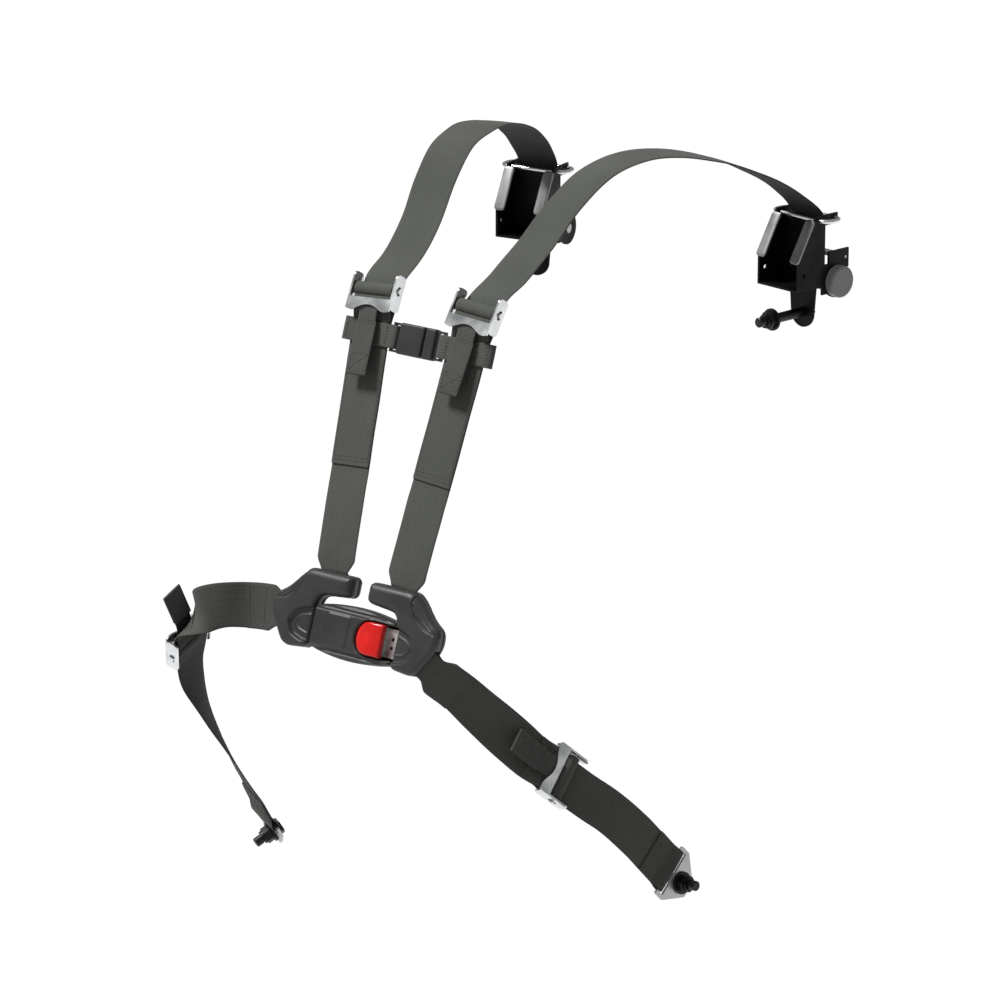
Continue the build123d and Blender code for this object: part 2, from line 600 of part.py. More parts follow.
def lap_anchor(side):
    """The slotted plate on the lap strap's end, with its bolt and nut."""
    name = SIDE_NAME[side]
    frame = anchor_plane(side)
    half = 31.0
    outline = [(-half, -2), (half, -2), (half, 12), (15, 32), (9, 39), (-9, 39), (-15, 32), (-half, 12)]
    plate = extrude(polygon(outline), amount=1.5, both=True)
    plate = fillet(plate.edges().filter_by(Axis.Z), 1.8)
    plate = plate - Pos(0, 5.4, 0) * Box(WEB_WIDTH + 2.5, 6.8, 9)
    plate = plate - Pos(0, ANCHOR_HOLE, 0) * Cylinder(BOLT_HOLE_R, 20)
    save(f"{name}_lap_anchor_plate", one(frame.location * plate))
    bolt, nut = bolt_and_nut(LAP_GRIP)
    out = frame.z_dir * BOLT_SIGN[side]
    head = frame.from_local_coords((0, ANCHOR_HOLE, 0)) - out * 1.7
    place_bolt(f"{name}_lap", Plane(origin=head, x_dir=frame.x_dir, z_dir=out), bolt, nut, LAP_GRIP)


def place_bolt(label, plane, bolt, nut, grip):
    """Save a bolt and its nut, and print where its free thread ends."""
    save(f"{label}_bolt", plane.location * bolt)
    save(f"{label}_nut", plane.location * nut)
    tip = plane.from_local_coords((0, 0, grip + 13 + THREAD_TIP))
    print(f"{label} bolt end", [round(v, 3) for v in tip], "axis", [round(v, 4) for v in plane.z_dir])


# ---------------------------------------------------------------- retractors
HOUSING_HALF = 31.0
SHEET = 2.5
SPOOL_AT = (22.0, -34.0)  # the spool's centre in the retractor's YZ plane
SPOOL_R = 5.52
ROLL_R = 14.0
CASE_R = 19.0
PIVOT_BOLT_Z = -72.0
PAWL_AT = (36.0, -9.0)
TEETH = 12
TOOTH_TIP, TOOTH_ROOT = 17.5, 13.0
MOUTH_Y = -40.0  # front edge of the frame's walls
RING_WIRE = 2.5


def retractor_plane(side):
    """A retractor's frame: origin on its back plate, y to the rear."""
    yaw = math.radians(-side * RETRACTOR_YAW)
    x_dir = (math.cos(yaw), math.sin(yaw), 0)
    return Plane(origin=mirrored(RETRACTOR_AT, side), x_dir=x_dir, z_dir=(0, 0, 1))


def retractor_frame():
    """The retractor's steel frame: a channel open to the front, ears behind and a bolt tongue."""
    cheek = polygon([(SHEET, 32), (22, 32), (22, 44), (-12, 44), (-15, 38.5), (MOUTH_Y, -4), (MOUTH_Y, -36),
                     (SHEET, -38)])
    ear = Pos(*SPOOL_AT) * Circle(CASE_R) + Pos(12, -30) * Rectangle(26, 34)
    ear = ear + Pos(25, -10) * Rectangle(32, 22)
    wall = extrude(Plane.YZ * (cheek + ear), amount=SHEET)
    for y in (-7.5, 17.5):
        wall = wall - rod((-1, y, 38.5), (SHEET + 1, y, 38.5), RING_WIRE + 0.05)
    wall = wall - rod((-1, *SPOOL_AT), (SHEET + 1, *SPOOL_AT), SPOOL_R + 0.08)
    wall = wall - rod((-1, *PAWL_AT), (SHEET + 1, *PAWL_AT), 1.6)
    wall = wall - rod((-1, -30, -20), (SHEET + 1, -30, -20), 2.6)
    body = Pos(HOUSING_HALF - SHEET, 0, 0) * wall + Pos(-HOUSING_HALF, 0, 0) * wall
    body = body + box((-HOUSING_HALF, 0, -38), (HOUSING_HALF, SHEET, 35.0))
    body = body + box((-HOUSING_HALF, MOUTH_Y, -38), (HOUSING_HALF, 0, -35.6))
    deep, tall = -15 - MOUTH_Y, 42.5
    lean = math.degrees(math.atan2(deep, tall))
    for s in (1, -1):
        flange = Box(11, SHEET, math.hypot(deep, tall))
        middle = Pos(s * (HOUSING_HALF - 5.5), MOUTH_Y + deep / 2 + 1.1, 16.6)
        body = body + middle * Rot(-lean, 0, 0) * flange
    tongue = polygon([(-20, -36), (20, -36), (17, PIVOT_BOLT_Z), (-17, PIVOT_BOLT_Z)])
    tongue = upright(tongue + Pos(0, PIVOT_BOLT_Z) * Circle(17), 0, SHEET)
    tongue = tongue - rod((0, -5, PIVOT_BOLT_Z), (0, 9, PIVOT_BOLT_Z), BOLT_HOLE_R)
    return one(body + tongue)


def guide_ring():
    """The bright wire ring that guides the webbing over the frame's top edge."""
    path = fillet(Rectangle(84, 25).vertices(), 10.2).wire()
    section = Plane(origin=path @ 0, z_dir=path % 0) * Circle(RING_WIRE)
    return one(Pos(0, 5, 38.5) * sweep(section, path=path))


def spool(side):
    """The spool: its shaft and the toothed wheel pressed on at each end."""
    y, z = SPOOL_AT
    step = 2 * math.pi / TEETH
    points = []
    for i in range(TEETH):
        for radius, turn in ((TOOTH_TIP, i), (TOOTH_ROOT, i + 0.15)):
            points.append((y + radius * math.cos(step * turn), z + radius * math.sin(step * turn)))
    wheel = extrude(Plane.YZ * polygon(points), amount=1.8)
    shaft = rod((-side * (HOUSING_HALF + 1), y, z), (side * (HOUSING_HALF + 6), y, z), SPOOL_R)
    return one(shaft + rod((-27, y, z), (27, y, z), 7.0) + Pos(26.1, 0, 0) * wheel + Pos(-27.9, 0, 0) * wheel)


def webbing_roll():
    """The stored webbing wound on the spool."""
    y, z = SPOOL_AT
    return across(Pos(y, z) * (Circle(ROLL_R) - Circle(7.1)), WEB_WIDTH)


def lock_pawl():
    """The pawl that drops into the toothed wheels, with its two trunnions; drawn released."""
    engaged = [(3.5, -3.5), (3.5, 3.5), (-16, -2.5), (-18.5, -4), (-18.5, -10), (-15.5, -10),
               (-15.5, -6.5), (-6, -3.5)]
    nose = across(polygon(engaged), 2 * 27.9)
    nose = nose - box((-25.6, -25, -20), (25.6, -5, 5))
    lever = Rot(-PAWL_SWING, 0, 0) * (nose + rod((-HOUSING_HALF, 0, 0), (HOUSING_HALF, 0, 0), 1.52))
    return one(Pos(0, *PAWL_AT) * lever)


PAWL_SWING = 15.0


def power_spring(side):
    """The flat spiral spring that winds the webbing in."""
    y, z = SPOOL_AT
    turns, per_turn = 5, 24
    inside, outside = [], []
    for i in range(turns * per_turn + 1):
        radius = 6.6 + 8.6 * i / (turns * per_turn)
        angle = 2 * math.pi * i / per_turn
        inside.append((y + radius * math.cos(angle), z + radius * math.sin(angle)))
        outside.append((y + (radius + 0.4) * math.cos(angle), z + (radius + 0.4) * math.sin(angle)))
    strip = extrude(Plane.YZ * polygon(inside + outside[::-1]), amount=5.0)
    return one(Pos(HOUSING_HALF + 1.0 if side == 1 else -HOUSING_HALF - 6.0, 0, 0) * strip)


def spring_case(side):
    """The round cap that holds the power spring against the frame's outer wall."""
    y, z = SPOOL_AT
    low, high = side * (HOUSING_HALF + 0.2), side * (HOUSING_HALF + 10.2)
    case = rod((low, y, z), (high, y, z), CASE_R - 1)
    case = fillet(case.edges().filter_by(GeomType.CIRCLE).sort_by(Axis.X)[-1 if side == 1 else 0], 3.0)
    return one(case - rod((low - side, y, z), (high - side * 2.2, y, z), CASE_R - 3))


def retractors(side):
    """One retractor with its spool, pawl, spring case, ring, bolt and nut."""
    name = SIDE_NAME[side]
    plane = retractor_plane(side)
    pieces = {
        "retractor_frame": retractor_frame(),
        "guide_ring": guide_ring(),
        "spool": spool(side),
        "webbing_roll": webbing_roll(),
        "lock_pawl": lock_pawl(),
        "power_spring": power_spring(side),
        "spring_case": spring_case(side),
    }
    for node, solid in pieces.items():
        save(f"{name}_{node}", plane.location * solid)
    bolt, nut = bolt_and_nut(RETRACTOR_GRIP)
    head = plane.from_local_coords((0, SHEET + 0.2, PIVOT_BOLT_Z))
    place_bolt(f"{name}_retractor", Plane(origin=head, x_dir=plane.x_dir, z_dir=plane.y_dir * -1), bolt, nut,
               RETRACTOR_GRIP)
    for label, (y, z) in {"spool": SPOOL_AT, "pawl": PAWL_AT}.items():
        centre = plane.from_local_coords((0, y, z))
        print(name, label, [round(v, 3) for v in centre], "axis", [round(v, 4) for v in plane.x_dir])


buckle_shells()
buckle_channel()
release_button()
chest_clip()
for half in (1, -1):
    latch_plate(half)
    covers(half)
    lower_shoulder_strap(half)
    upper_shoulder_strap(half)
    lap_straps(half)
    chest_strap(half)
    adjusters(half)
    lap_anchor(half)
    retractors(half)
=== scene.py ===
import math
from collections import Counter

import bmesh
import bpy
import numpy as np
from mathutils import Matrix, Vector, noise

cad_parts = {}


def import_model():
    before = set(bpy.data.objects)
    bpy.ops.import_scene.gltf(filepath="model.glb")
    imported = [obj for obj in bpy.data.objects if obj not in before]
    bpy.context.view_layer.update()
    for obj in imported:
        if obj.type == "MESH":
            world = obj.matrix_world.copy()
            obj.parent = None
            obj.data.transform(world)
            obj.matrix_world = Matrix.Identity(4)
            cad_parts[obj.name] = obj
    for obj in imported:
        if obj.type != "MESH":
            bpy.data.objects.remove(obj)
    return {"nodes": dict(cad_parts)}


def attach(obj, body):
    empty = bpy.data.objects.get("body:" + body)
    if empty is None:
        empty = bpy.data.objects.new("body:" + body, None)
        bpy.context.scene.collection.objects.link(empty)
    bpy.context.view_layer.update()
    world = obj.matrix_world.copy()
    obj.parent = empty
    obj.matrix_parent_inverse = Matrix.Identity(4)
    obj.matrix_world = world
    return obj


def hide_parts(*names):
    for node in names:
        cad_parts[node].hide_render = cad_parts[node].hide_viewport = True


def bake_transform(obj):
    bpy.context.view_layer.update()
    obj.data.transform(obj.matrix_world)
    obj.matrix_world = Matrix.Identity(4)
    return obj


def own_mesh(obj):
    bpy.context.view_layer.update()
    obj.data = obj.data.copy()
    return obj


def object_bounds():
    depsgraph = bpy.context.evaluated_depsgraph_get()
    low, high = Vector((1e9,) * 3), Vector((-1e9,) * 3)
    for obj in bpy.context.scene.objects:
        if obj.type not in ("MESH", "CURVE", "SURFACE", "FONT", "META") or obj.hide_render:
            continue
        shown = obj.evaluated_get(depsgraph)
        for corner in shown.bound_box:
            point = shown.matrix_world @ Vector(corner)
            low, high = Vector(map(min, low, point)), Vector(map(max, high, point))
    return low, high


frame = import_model()
cad_low, cad_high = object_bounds()

# Lengths are in millimetres, in the part's frame, and become metres where a mesh is made.
MM = 0.001
SIDES = {"right": 1, "left": -1}

# Webbing
WEB, WEB_T = 50.8, 1.5  # two-inch webbing
THROAT = 35.0  # width of a strap where it enters a cover
CHEST_WEB = 25.4
TAB_WEB = 27.0
BAR_R = 4.15  # middle of a strap's loop round a bar
LAYER = 0.85  # a sewn layer's offset from the joint of two layers

# Places of the bars, plates and retractors, and the stations of the free straps:
# (centre, direction across the webbing), for the half at +X where both halves match.
LEAN = math.radians(20.0)  # the buckle leans back
SHOULDER_TILT = 10.5  # degrees that a shoulder adjuster leans back from its strap
SHOULDER_BAR = (68, 117, 328)
SHOULDER_FOOT = (47.5, 55)  # the latch plate's shoulder bar, in the buckle's plane
OVERLAY = 175.0  # length of the sewn-back layer on the chest
CHEST_DOWN = 29.0  # from a shoulder bar down to the chest strap
UPPER_STRAP = [
    ((70, 137, 353), (1, -0.05, 0)), ((73, 170, 371), (1, -0.05, 0)), ((80, 212, 403), (1, -0.1, 0)),
    ((89, 247, 438), (1, -0.15, 0)), ((100, 290, 467), (1, -0.2, 0)), ((112, 344, 477), (1, -0.25, 0)),
    ((126, 396, 472), (1, -0.3, 0)), ((143, 448, 458), (1, -0.3, 0)), ((161, 494, 438), (1, -0.28, 0)),
    ((178, 535, 412), (1, -0.24, 0)),
]
LAP_SLOT = {1: (93, -7), -1: (-92, 5)}
LAP_SLOT_ACROSS = {1: (0.66, 0.75), -1: (0, 1)}
LAP_BAR = {1: (191, 92, -136), -1: (-219, -20, -38)}
LAP_BAR_ACROSS = {1: (-0.02, 0.71, 0.68), -1: (0.14, 0.72, 0.68)}
LAP_FRONT = {
    1: [((112, 5, -28), (0.64, 0.18, 0.73)), ((122, 17, -41), (0.62, 0.15, 0.75)),
        ((145, 36, -69), (0.48, 0.3, 0.76)), ((166, 56, -97), (0.28, 0.5, 0.75)),
        ((181, 76, -121), (0.08, 0.66, 0.7))],
    -1: [((-122, 1, 6), (0, 0.25, 0.96)), ((-147, -5, 5), (0, 0.12, 0.98)),
         ((-175, -20, 3), (0.05, 0.05, 1)), ((-197, -28, -6), (0.15, 0.2, 0.95)),
         ((-210, -27, -19), (0.18, 0.5, 0.85))],
}
LAP_REAR = {
    1: [((205, 116, -161), (-0.06, 0.72, 0.68)), ((212, 130, -174), (-0.08, 0.7, 0.68)),
        ((222, 156, -196), (-0.06, 0.66, 0.7)), ((234, 184, -226), (-0.02, 0.6, 0.78)),
        ((242, 208, -254), (0, 0.58, 0.8)), ((247, 227, -276), (0, 0.6, 0.8))],
    -1: [((-231, -6, -68), (0.05, 0.9, 0.45)), ((-238, 2, -88), (-0.12, 0.9, 0.42)),
         ((-243, 17, -116), (-0.4, 0.86, 0.3)), ((-244, 36, -153), (-0.62, 0.74, 0.2)),
         ((-244, 73, -214), (-0.8, 0.55, 0.1)), ((-244, 110, -272), (-0.88, 0.44, 0.05)),
         ((-244, 126, -297), (-0.9, 0.42, 0.05))],
}
LAP_TAB = {1: (60.0, 2.0), -1: (50.0, 18.0)}  # length and lift of the pull tabs
SHOULDER_TAB = (77.0, -6.4)
SLIDE_AT = (17.0, 3.0)  # an adjuster's slide bar: along the strap and out of its face
ANCHOR_REACH = 5.35  # from a lap strap's last station to its anchor plate's bar
RETRACTOR_AT = (187, 555, 343)
RETRACTOR_YAW = math.radians(9.0)
SPOOL_AT = (22.0, -34.0)
MOUTH_Y = -40.0  # front edge of a retractor's walls


# -------- frames and curves
def unit(v):
    v = np.asarray(v, float)
    return v / np.linalg.norm(v)


def metres(point):
    return tuple(np.asarray(point) * MM)


class Place:
    """A frame on a strap: x across, y along, z out of its face."""

    def __init__(self, origin, across, along):
        self.o = np.array(origin, float)
        self.y = unit(along)
        across = np.array(across, float)
        self.x = unit(across - self.y * (across @ self.y))
        self.z = np.cross(self.x, self.y)

    def at(self, x, y, z):
        return self.o + self.x * x + self.y * y + self.z * z

    def tilted(self, degrees):
        c, s = math.cos(math.radians(degrees)), math.sin(math.radians(degrees))
        return Place(self.o, self.x, self.y * c + self.z * s)


def front_point(x, h, y=0.0):
    """A point of the buckle: x, height h along its leaning plane, y behind that plane."""
    c, s = math.cos(LEAN), math.sin(LEAN)
    return np.array((x, h * s + y * c, h * c - y * s))


def front_dir(x, h):
    return (x, h * math.sin(LEAN), h * math.cos(LEAN))


def shoulder_place(side):
    bar = np.array((side * SHOULDER_BAR[0], *SHOULDER_BAR[1:]), float)
    foot = front_point(side * SHOULDER_FOOT[0], SHOULDER_FOOT[1])
    return Place(bar, (1, 0, 0), bar - foot), float(np.linalg.norm(bar - foot))


def lap_place(side):
    along = np.subtract(LAP_REAR[side][1][0], LAP_BAR[side])
    place = Place(LAP_BAR[side], LAP_BAR_ACROSS[side], along)
    return place if place.z[0] * side > 0 else Place(LAP_BAR[side], -place.x, along)


def slot_directions(side):
    """Along a latch plate's lap bar and out of it, in the buckle's plane."""
    w = unit(LAP_SLOT_ACROSS[side])
    out = np.array((w[1], -w[0]))
    return w, out if out[0] * side > 0 else -out


def plate_place(side):
    w, out = slot_directions(side)
    return Place(front_point(*LAP_SLOT[side]), front_dir(*w), front_dir(*out))


def anchor_place(side):
    last, across = LAP_REAR[side][-1]
    along = unit(np.subtract(last, LAP_REAR[side][-2][0]))
    return Place(np.array(last) + along * ANCHOR_REACH, across, along)


def retractor_place(side):
    yaw = -side * RETRACTOR_YAW
    x = (math.cos(yaw), math.sin(yaw), 0)
    return Place((side * RETRACTOR_AT[0], *RETRACTOR_AT[1:]), x, (-x[1], x[0], 0))


def running_length(points):
    return np.concatenate([[0], np.cumsum(np.linalg.norm(np.diff(points, axis=0), axis=1))])


def curve(stations, step=2.5, soften=6, first=None, last=None):
    """A smooth line through stations of (point, across), as arrays of points and directions."""
    p = np.array([s[0] for s in stations], float)
    w = [unit(s[1]) for s in stations]
    for i in range(1, len(w)):
        if w[i] @ w[i - 1] < 0:
            w[i] = -w[i]
    both = np.hstack([p, np.array(w)])
    t = running_length(p)
    slope = np.diff(both, axis=0) / np.diff(t)[:, None]
    m = np.vstack([slope[:1], slope[:-1] + slope[1:], slope[-1:]])
    m[1:-1] /= 2
    for i, given in ((0, first), (-1, last)):
        if given is not None:
            m[i, :3] = unit(given)
    out = []
    for s in np.linspace(0, t[-1], max(3, int(t[-1] / step) + 1)):
        i = min(int(np.searchsorted(t, s, side="right")) - 1, len(t) - 2)
        h = t[i + 1] - t[i]
        u = (s - t[i]) / h
        out.append((2 * u**3 - 3 * u**2 + 1) * both[i] + (u**3 - 2 * u**2 + u) * h * m[i]
                   + (3 * u**2 - 2 * u**3) * both[i + 1] + (u**3 - u**2) * h * m[i + 1])
    out = np.array(out)
    for _ in range(soften):
        out[2:-2] = (out[1:-3] + 2 * out[2:-2] + out[3:-1]) / 4
    return out[:, :3], out[:, 3:]


def axes(points, across):
    """Tangent, width direction and outward normal at each point."""
    t = np.gradient(points, axis=0)
    t /= np.linalg.norm(t, axis=1)[:, None]
    w = across - t * (across * t).sum(axis=1)[:, None]
    w /= np.linalg.norm(w, axis=1)[:, None]
    return t, w, np.cross(w, t)


def unit_rows(v):
    return v / np.linalg.norm(v, axis=1)[:, None]


def ease(x):
    x = np.clip(x, 0, 1)
    return x * x * (3 - 2 * x)


# -------- materials
class Finish:
    """A node material built round one Principled shader."""

    def __init__(self, name, colour, roughness, metallic=0.0, specular=0.5):
        self.mat = bpy.data.materials.new(name)
        self.mat.use_nodes = True
        self.tree = self.mat.node_tree
        self.bsdf = self.tree.nodes["Principled BSDF"]
        self.set("Base Color", colour)
        self.set("Roughness", roughness)
        self.set("Metallic", metallic)
        self.set("Specular IOR Level", specular)
        self.mat.diffuse_color = (*colour, 1)

    def link(self, value, socket):
        if isinstance(value, (int, float)):
            socket.default_value = value
        elif isinstance(value, tuple):
            socket.default_value = (*value, 1)
        else:
            self.tree.links.new(value, socket)

    def node(self, kind):
        return self.tree.nodes.new("ShaderNode" + kind)

    def math(self, operation, a, b=0.0, clamp=False):
        node = self.node("Math")
        node.operation, node.use_clamp = operation, clamp
        self.link(a, node.inputs[0])
        self.link(b, node.inputs[1])
        return node.outputs[0]

    def noise(self, scale, detail=2.0, stretch=(1, 1, 1)):
        where = self.node("TexCoord").outputs["Object"]
        mapping = self.node("Mapping")
        mapping.inputs["Scale"].default_value = stretch
        self.link(where, mapping.inputs["Vector"])
        node = self.node("TexNoise")
        node.inputs["Scale"].default_value = scale
        node.inputs["Detail"].default_value = detail
        self.link(mapping.outputs[0], node.inputs["Vector"])
        return node.outputs["Fac"]

    def mix(self, factor, a, b):
        node = self.node("Mix")
        node.data_type = "RGBA"
        self.link(factor, node.inputs["Factor"])
        self.link(a, node.inputs[6])
        self.link(b, node.inputs[7])
        return node.outputs[2]

    def span(self, value, low, high, to_low=0.0, to_high=1.0):
        node = self.node("MapRange")
        for socket, v in zip(node.inputs, (value, low, high, to_low, to_high)):
            self.link(v, socket)
        return node.outputs[0]

    def bump(self, height, strength, distance):
        node = self.node("Bump")
        node.inputs["Strength"].default_value = strength
        node.inputs["Distance"].default_value = distance
        self.link(height, node.inputs["Height"])
        self.link(node.outputs[0], self.bsdf.inputs["Normal"])

    def edges(self):
        """1 along raised edges, from the mesh's own curvature."""
        geometry = self.node("NewGeometry")
        return self.span(geometry.outputs["Pointiness"], 0.52, 0.6)

    def set(self, socket, value):
        self.link(value, self.bsdf.inputs[socket])


TWILL, TWILL_RUN = 0.0019, 0.0042  # metres between twill lines, and between their turns
RIB, PICK = 0.0021, 0.0011  # metres between the ribs along and the picks across


def webbing_finish(name, light, dark, inner):
    """Herringbone polyester webbing, with painted shade on its inner face. UV is metres along and across
    the strap.
    """
    f = Finish(name, light, 0.85, specular=0.22)
    uv = f.node("SeparateXYZ")
    f.link(f.node("UVMap").outputs[0], uv.inputs[0])
    u, v = uv.outputs[0], uv.outputs[1]
    zigzag = f.math("PINGPONG", v, TWILL_RUN)
    twill = f.math("SINE", f.math("MULTIPLY", f.math("ADD", u, zigzag), 2 * math.pi / TWILL))
    rib = f.math("SINE", f.math("MULTIPLY", v, 2 * math.pi / RIB))
    pick = f.math("SINE", f.math("MULTIPLY", u, 2 * math.pi / PICK))
    weave = f.math("ADD", f.math("MULTIPLY", twill, 0.34), f.math("MULTIPLY", rib, 0.2))
    weave = f.math("ADD", weave, f.math("MULTIPLY", pick, 0.1))
    fuzz = f.noise(1500, 3.0)
    height = f.math("ADD", f.math("ADD", weave, 0.5), f.math("MULTIPLY", fuzz, 0.35))
    worn = f.noise(14, 4.0)
    # Painted shade: the tone is darker in the weave's grooves, where the relief is low, on top of random
    # wear from the worn noise.
    tone = f.math("ADD", f.math("MULTIPLY", height, 0.75), f.math("MULTIPLY", worn, 0.55))
    colour = f.mix(f.span(tone, 0.2, 1.25), dark, light)
    # Painted shade: where the 'outer' attribute is low, on the inner face, the colour is mixed towards dark
    # * inner, standing in for the shadow on the webbing's underside.
    side = f.node("Attribute")
    side.attribute_name = "outer"
    shade = tuple(c * inner for c in dark)
    f.set("Base Color", f.mix(f.span(side.outputs["Fac"], 0.2, 0.8, 0.75, 0.0), colour, shade))
    f.set("Roughness", f.span(height, 0.0, 1.2, 0.95, 0.75))
    f.set("Sheen Weight", 0.1)
    f.set("Sheen Roughness", 0.6)
    f.bump(height, 0.55, 0.0005)
    return f.mat


def moulded_finish(name, colour, pale, roughness=0.42, dense=True):
    """Moulded plastic with a fine spark-eroded grain, paler along convex edges where the mesh is dense."""
    f = Finish(name, colour, roughness, specular=0.4)
    grain = f.noise(1400, 2.0)
    patch = f.noise(26, 3.0)
    # The tone is paler along convex edges, read from the mesh's curvature, and in random patches.
    convex_pale = f.math("MULTIPLY", f.edges() if dense else 0.0, f.span(patch, 0.35, 0.65, 0.35, 1.0))
    tone = f.math("ADD", f.math("MULTIPLY", convex_pale, 0.7), f.span(patch, 0.3, 0.7, 0.0, 0.16), clamp=True)
    f.set("Base Color", f.mix(tone, colour, pale))
    f.set("Roughness", f.span(patch, 0.3, 0.7, roughness - 0.05, roughness + 0.09))
    f.bump(grain, 0.16, 0.00025)
    return f.mat


def metal_finish(name, colour, roughness, metallic=1.0, brushed=(1, 1, 1), specular=0.5):
    """Metal with faint brushing and finger marks."""
    f = Finish(name, colour, roughness, metallic=metallic, specular=specular)
    smudge = f.noise(38, 4.0)
    hair = f.noise(900, 2.0, stretch=brushed)
    rough = f.math("ADD", f.span(smudge, 0.3, 0.7, roughness * 0.75, roughness * 1.5),
                   f.math("MULTIPLY", hair, 0.06))
    f.set("Roughness", rough)
    dull = tuple(c * 0.82 for c in colour)
    pale = tuple(min(1.0, c * 1.2) for c in colour)
    f.set("Base Color", f.mix(f.span(smudge, 0.3, 0.7), dull, pale))
    f.bump(hair, 0.05, 0.0002)
    return f.mat


def glossy_red():
    f = Finish("red_button", (0.78, 0.012, 0.01), 0.22, specular=0.35)
    patch = f.noise(60, 3.0)
    f.set("Base Color", f.mix(f.span(patch, 0.3, 0.7), (0.7, 0.008, 0.007), (0.86, 0.016, 0.013)))
    f.set("Roughness", f.span(f.noise(180, 3.0), 0.3, 0.7, 0.17, 0.32))
    f.set("Coat Weight", 0.25)
    f.set("Coat Roughness", 0.12)
    f.bump(f.noise(700, 1.0), 0.04, 0.0002)
    return f.mat


def thread_finish():
    f = Finish("stitching_thread", (0.09, 0.094, 0.084), 0.6, specular=0.4)
    twist = f.noise(2200, 1.0)
    f.set("Base Color", f.mix(twist, (0.06, 0.063, 0.056), (0.13, 0.134, 0.12)))
    f.bump(twist, 0.3, 0.0002)
    return f.mat


def floor_finish():
    """White that glows by itself, with a base too dark to return the key light."""
    f = Finish("white_floor", (0.02, 0.02, 0.02), 0.9, specular=0.0)
    f.set("Emission Color", (1, 1, 1))
    f.set("Emission Strength", 1.0)
    return f.mat


# inner is how dark the painted shade on each strap's inner face is, as a share of the dark colour.
WEBBING = webbing_finish("webbing", (0.128, 0.134, 0.12), (0.034, 0.037, 0.032), inner=0.25)
TAB_WEBBING = webbing_finish("webbing_tab", (0.11, 0.115, 0.104), (0.032, 0.035, 0.031), inner=0.5)
PLASTIC = moulded_finish("black_plastic", (0.032, 0.034, 0.032), (0.08, 0.083, 0.08))
CLIP = moulded_finish("clip_plastic", (0.035, 0.037, 0.035), (0.09, 0.092, 0.09), 0.4, dense=False)
BLACK_STEEL = metal_finish("black_steel", (0.0045, 0.0048, 0.0047), 0.42, metallic=0.0, specular=0.14)
FASTENER = metal_finish("dark_fastener", (0.009, 0.009, 0.0095), 0.34, metallic=0.0, specular=0.3)
CHROME = metal_finish("chrome", (0.7, 0.71, 0.72), 0.2)
PLATED = metal_finish("plated_steel", (0.42, 0.425, 0.42), 0.32, brushed=(1, 1, 12))
SPRING = metal_finish("spring_steel", (0.4, 0.4, 0.42), 0.3)
GREY_CAP = moulded_finish("grey_cap", (0.27, 0.275, 0.27), (0.45, 0.45, 0.44), 0.34)
GUARD = metal_finish("grey_guard", (0.28, 0.285, 0.28), 0.45)
TONGUE = metal_finish("bright_tongue", (0.8, 0.8, 0.79), 0.34)
RED = glossy_red()
THREAD = thread_finish()

CAD_FINISH = {
    "latch_plate": TONGUE, "buckle_channel": PLATED, "buckle_screws": FASTENER, "button_springs": SPRING,
    "chest_clip_socket": CLIP, "chest_clip_prongs": CLIP, "adjuster_frame": CHROME, "slide_bar": CHROME,
    "lap_anchor_plate": PLATED, "bolt": FASTENER, "nut": FASTENER, "retractor_frame": BLACK_STEEL,
    "guide_ring": CHROME, "spool": PLATED, "lock_pawl": PLATED, "power_spring": SPRING,
    "spring_case": GREY_CAP,
}
EDGE_WIDTH = 0.4  # eased edges of the metal and plastic nodes


def finish_nodes():
    """Finishes and eased edges for the nodes that stay as they are."""
    for name, node in frame["nodes"].items():
        found = [finish for ending, finish in CAD_FINISH.items() if name.endswith(ending)]
        if found:
            node.data.materials.clear()
            node.data.materials.append(found[0])
            eased = node.modifiers.new("eased_edges", "BEVEL")
            eased.width, eased.segments = EDGE_WIDTH * MM, 2
            eased.limit_method, eased.angle_limit = "ANGLE", math.radians(38)


# -------- mesh pieces
def add_object(name, data):
    obj = bpy.data.objects.new(name, data)
    bpy.context.scene.collection.objects.link(obj)
    return obj


def mesh_piece(name, verts, faces, finish, body=None, uvs=None, outer=None, sharp=40):
    """A piece from points in millimetres, riding on a body."""
    mesh = bpy.data.meshes.new(name)
    mesh.from_pydata((np.asarray(verts) * MM).tolist(), [], faces)
    if uvs is not None:
        layer = mesh.uv_layers.new(name="strap")
        corners = np.empty(len(mesh.loops), dtype=np.int32)
        mesh.loops.foreach_get("vertex_index", corners)
        layer.data.foreach_set("uv", (np.asarray(uvs)[corners] * MM).astype(np.float32).ravel())
    if outer is not None:
        face_side = mesh.attributes.new("outer", "FLOAT", "POINT")
        face_side.data.foreach_set("value", np.asarray(outer, np.float32))
    mesh.materials.append(finish)
    mesh.shade_smooth()
    mesh.set_sharp_from_angle(angle=math.radians(sharp))
    obj = add_object(name, mesh)
    if body:
        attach(obj, body)
    return obj


# A strap's section, as shares of its half width and half thickness: the outer face, a rounded
# edge, the inner face and the other edge. Its selvedges are a little thicker.
ACROSS = np.linspace(-0.965, 0.965, 15)
SELVEDGE, SELVEDGE_THICK = 0.9, 1.1
EDGE = [(0.988, 0.75), (1.0, 0.0), (0.988, -0.75)]
FACE = [(a, 1.0 if abs(a) < SELVEDGE else SELVEDGE_THICK) for a in ACROSS]
SECTION = FACE + EDGE + [(a, -b) for a, b in FACE[::-1]] + [(-a, -b) for a, b in EDGE]
INNER_END = 2 * len(FACE) + len(EDGE) - 1  # index of the inner face's last point


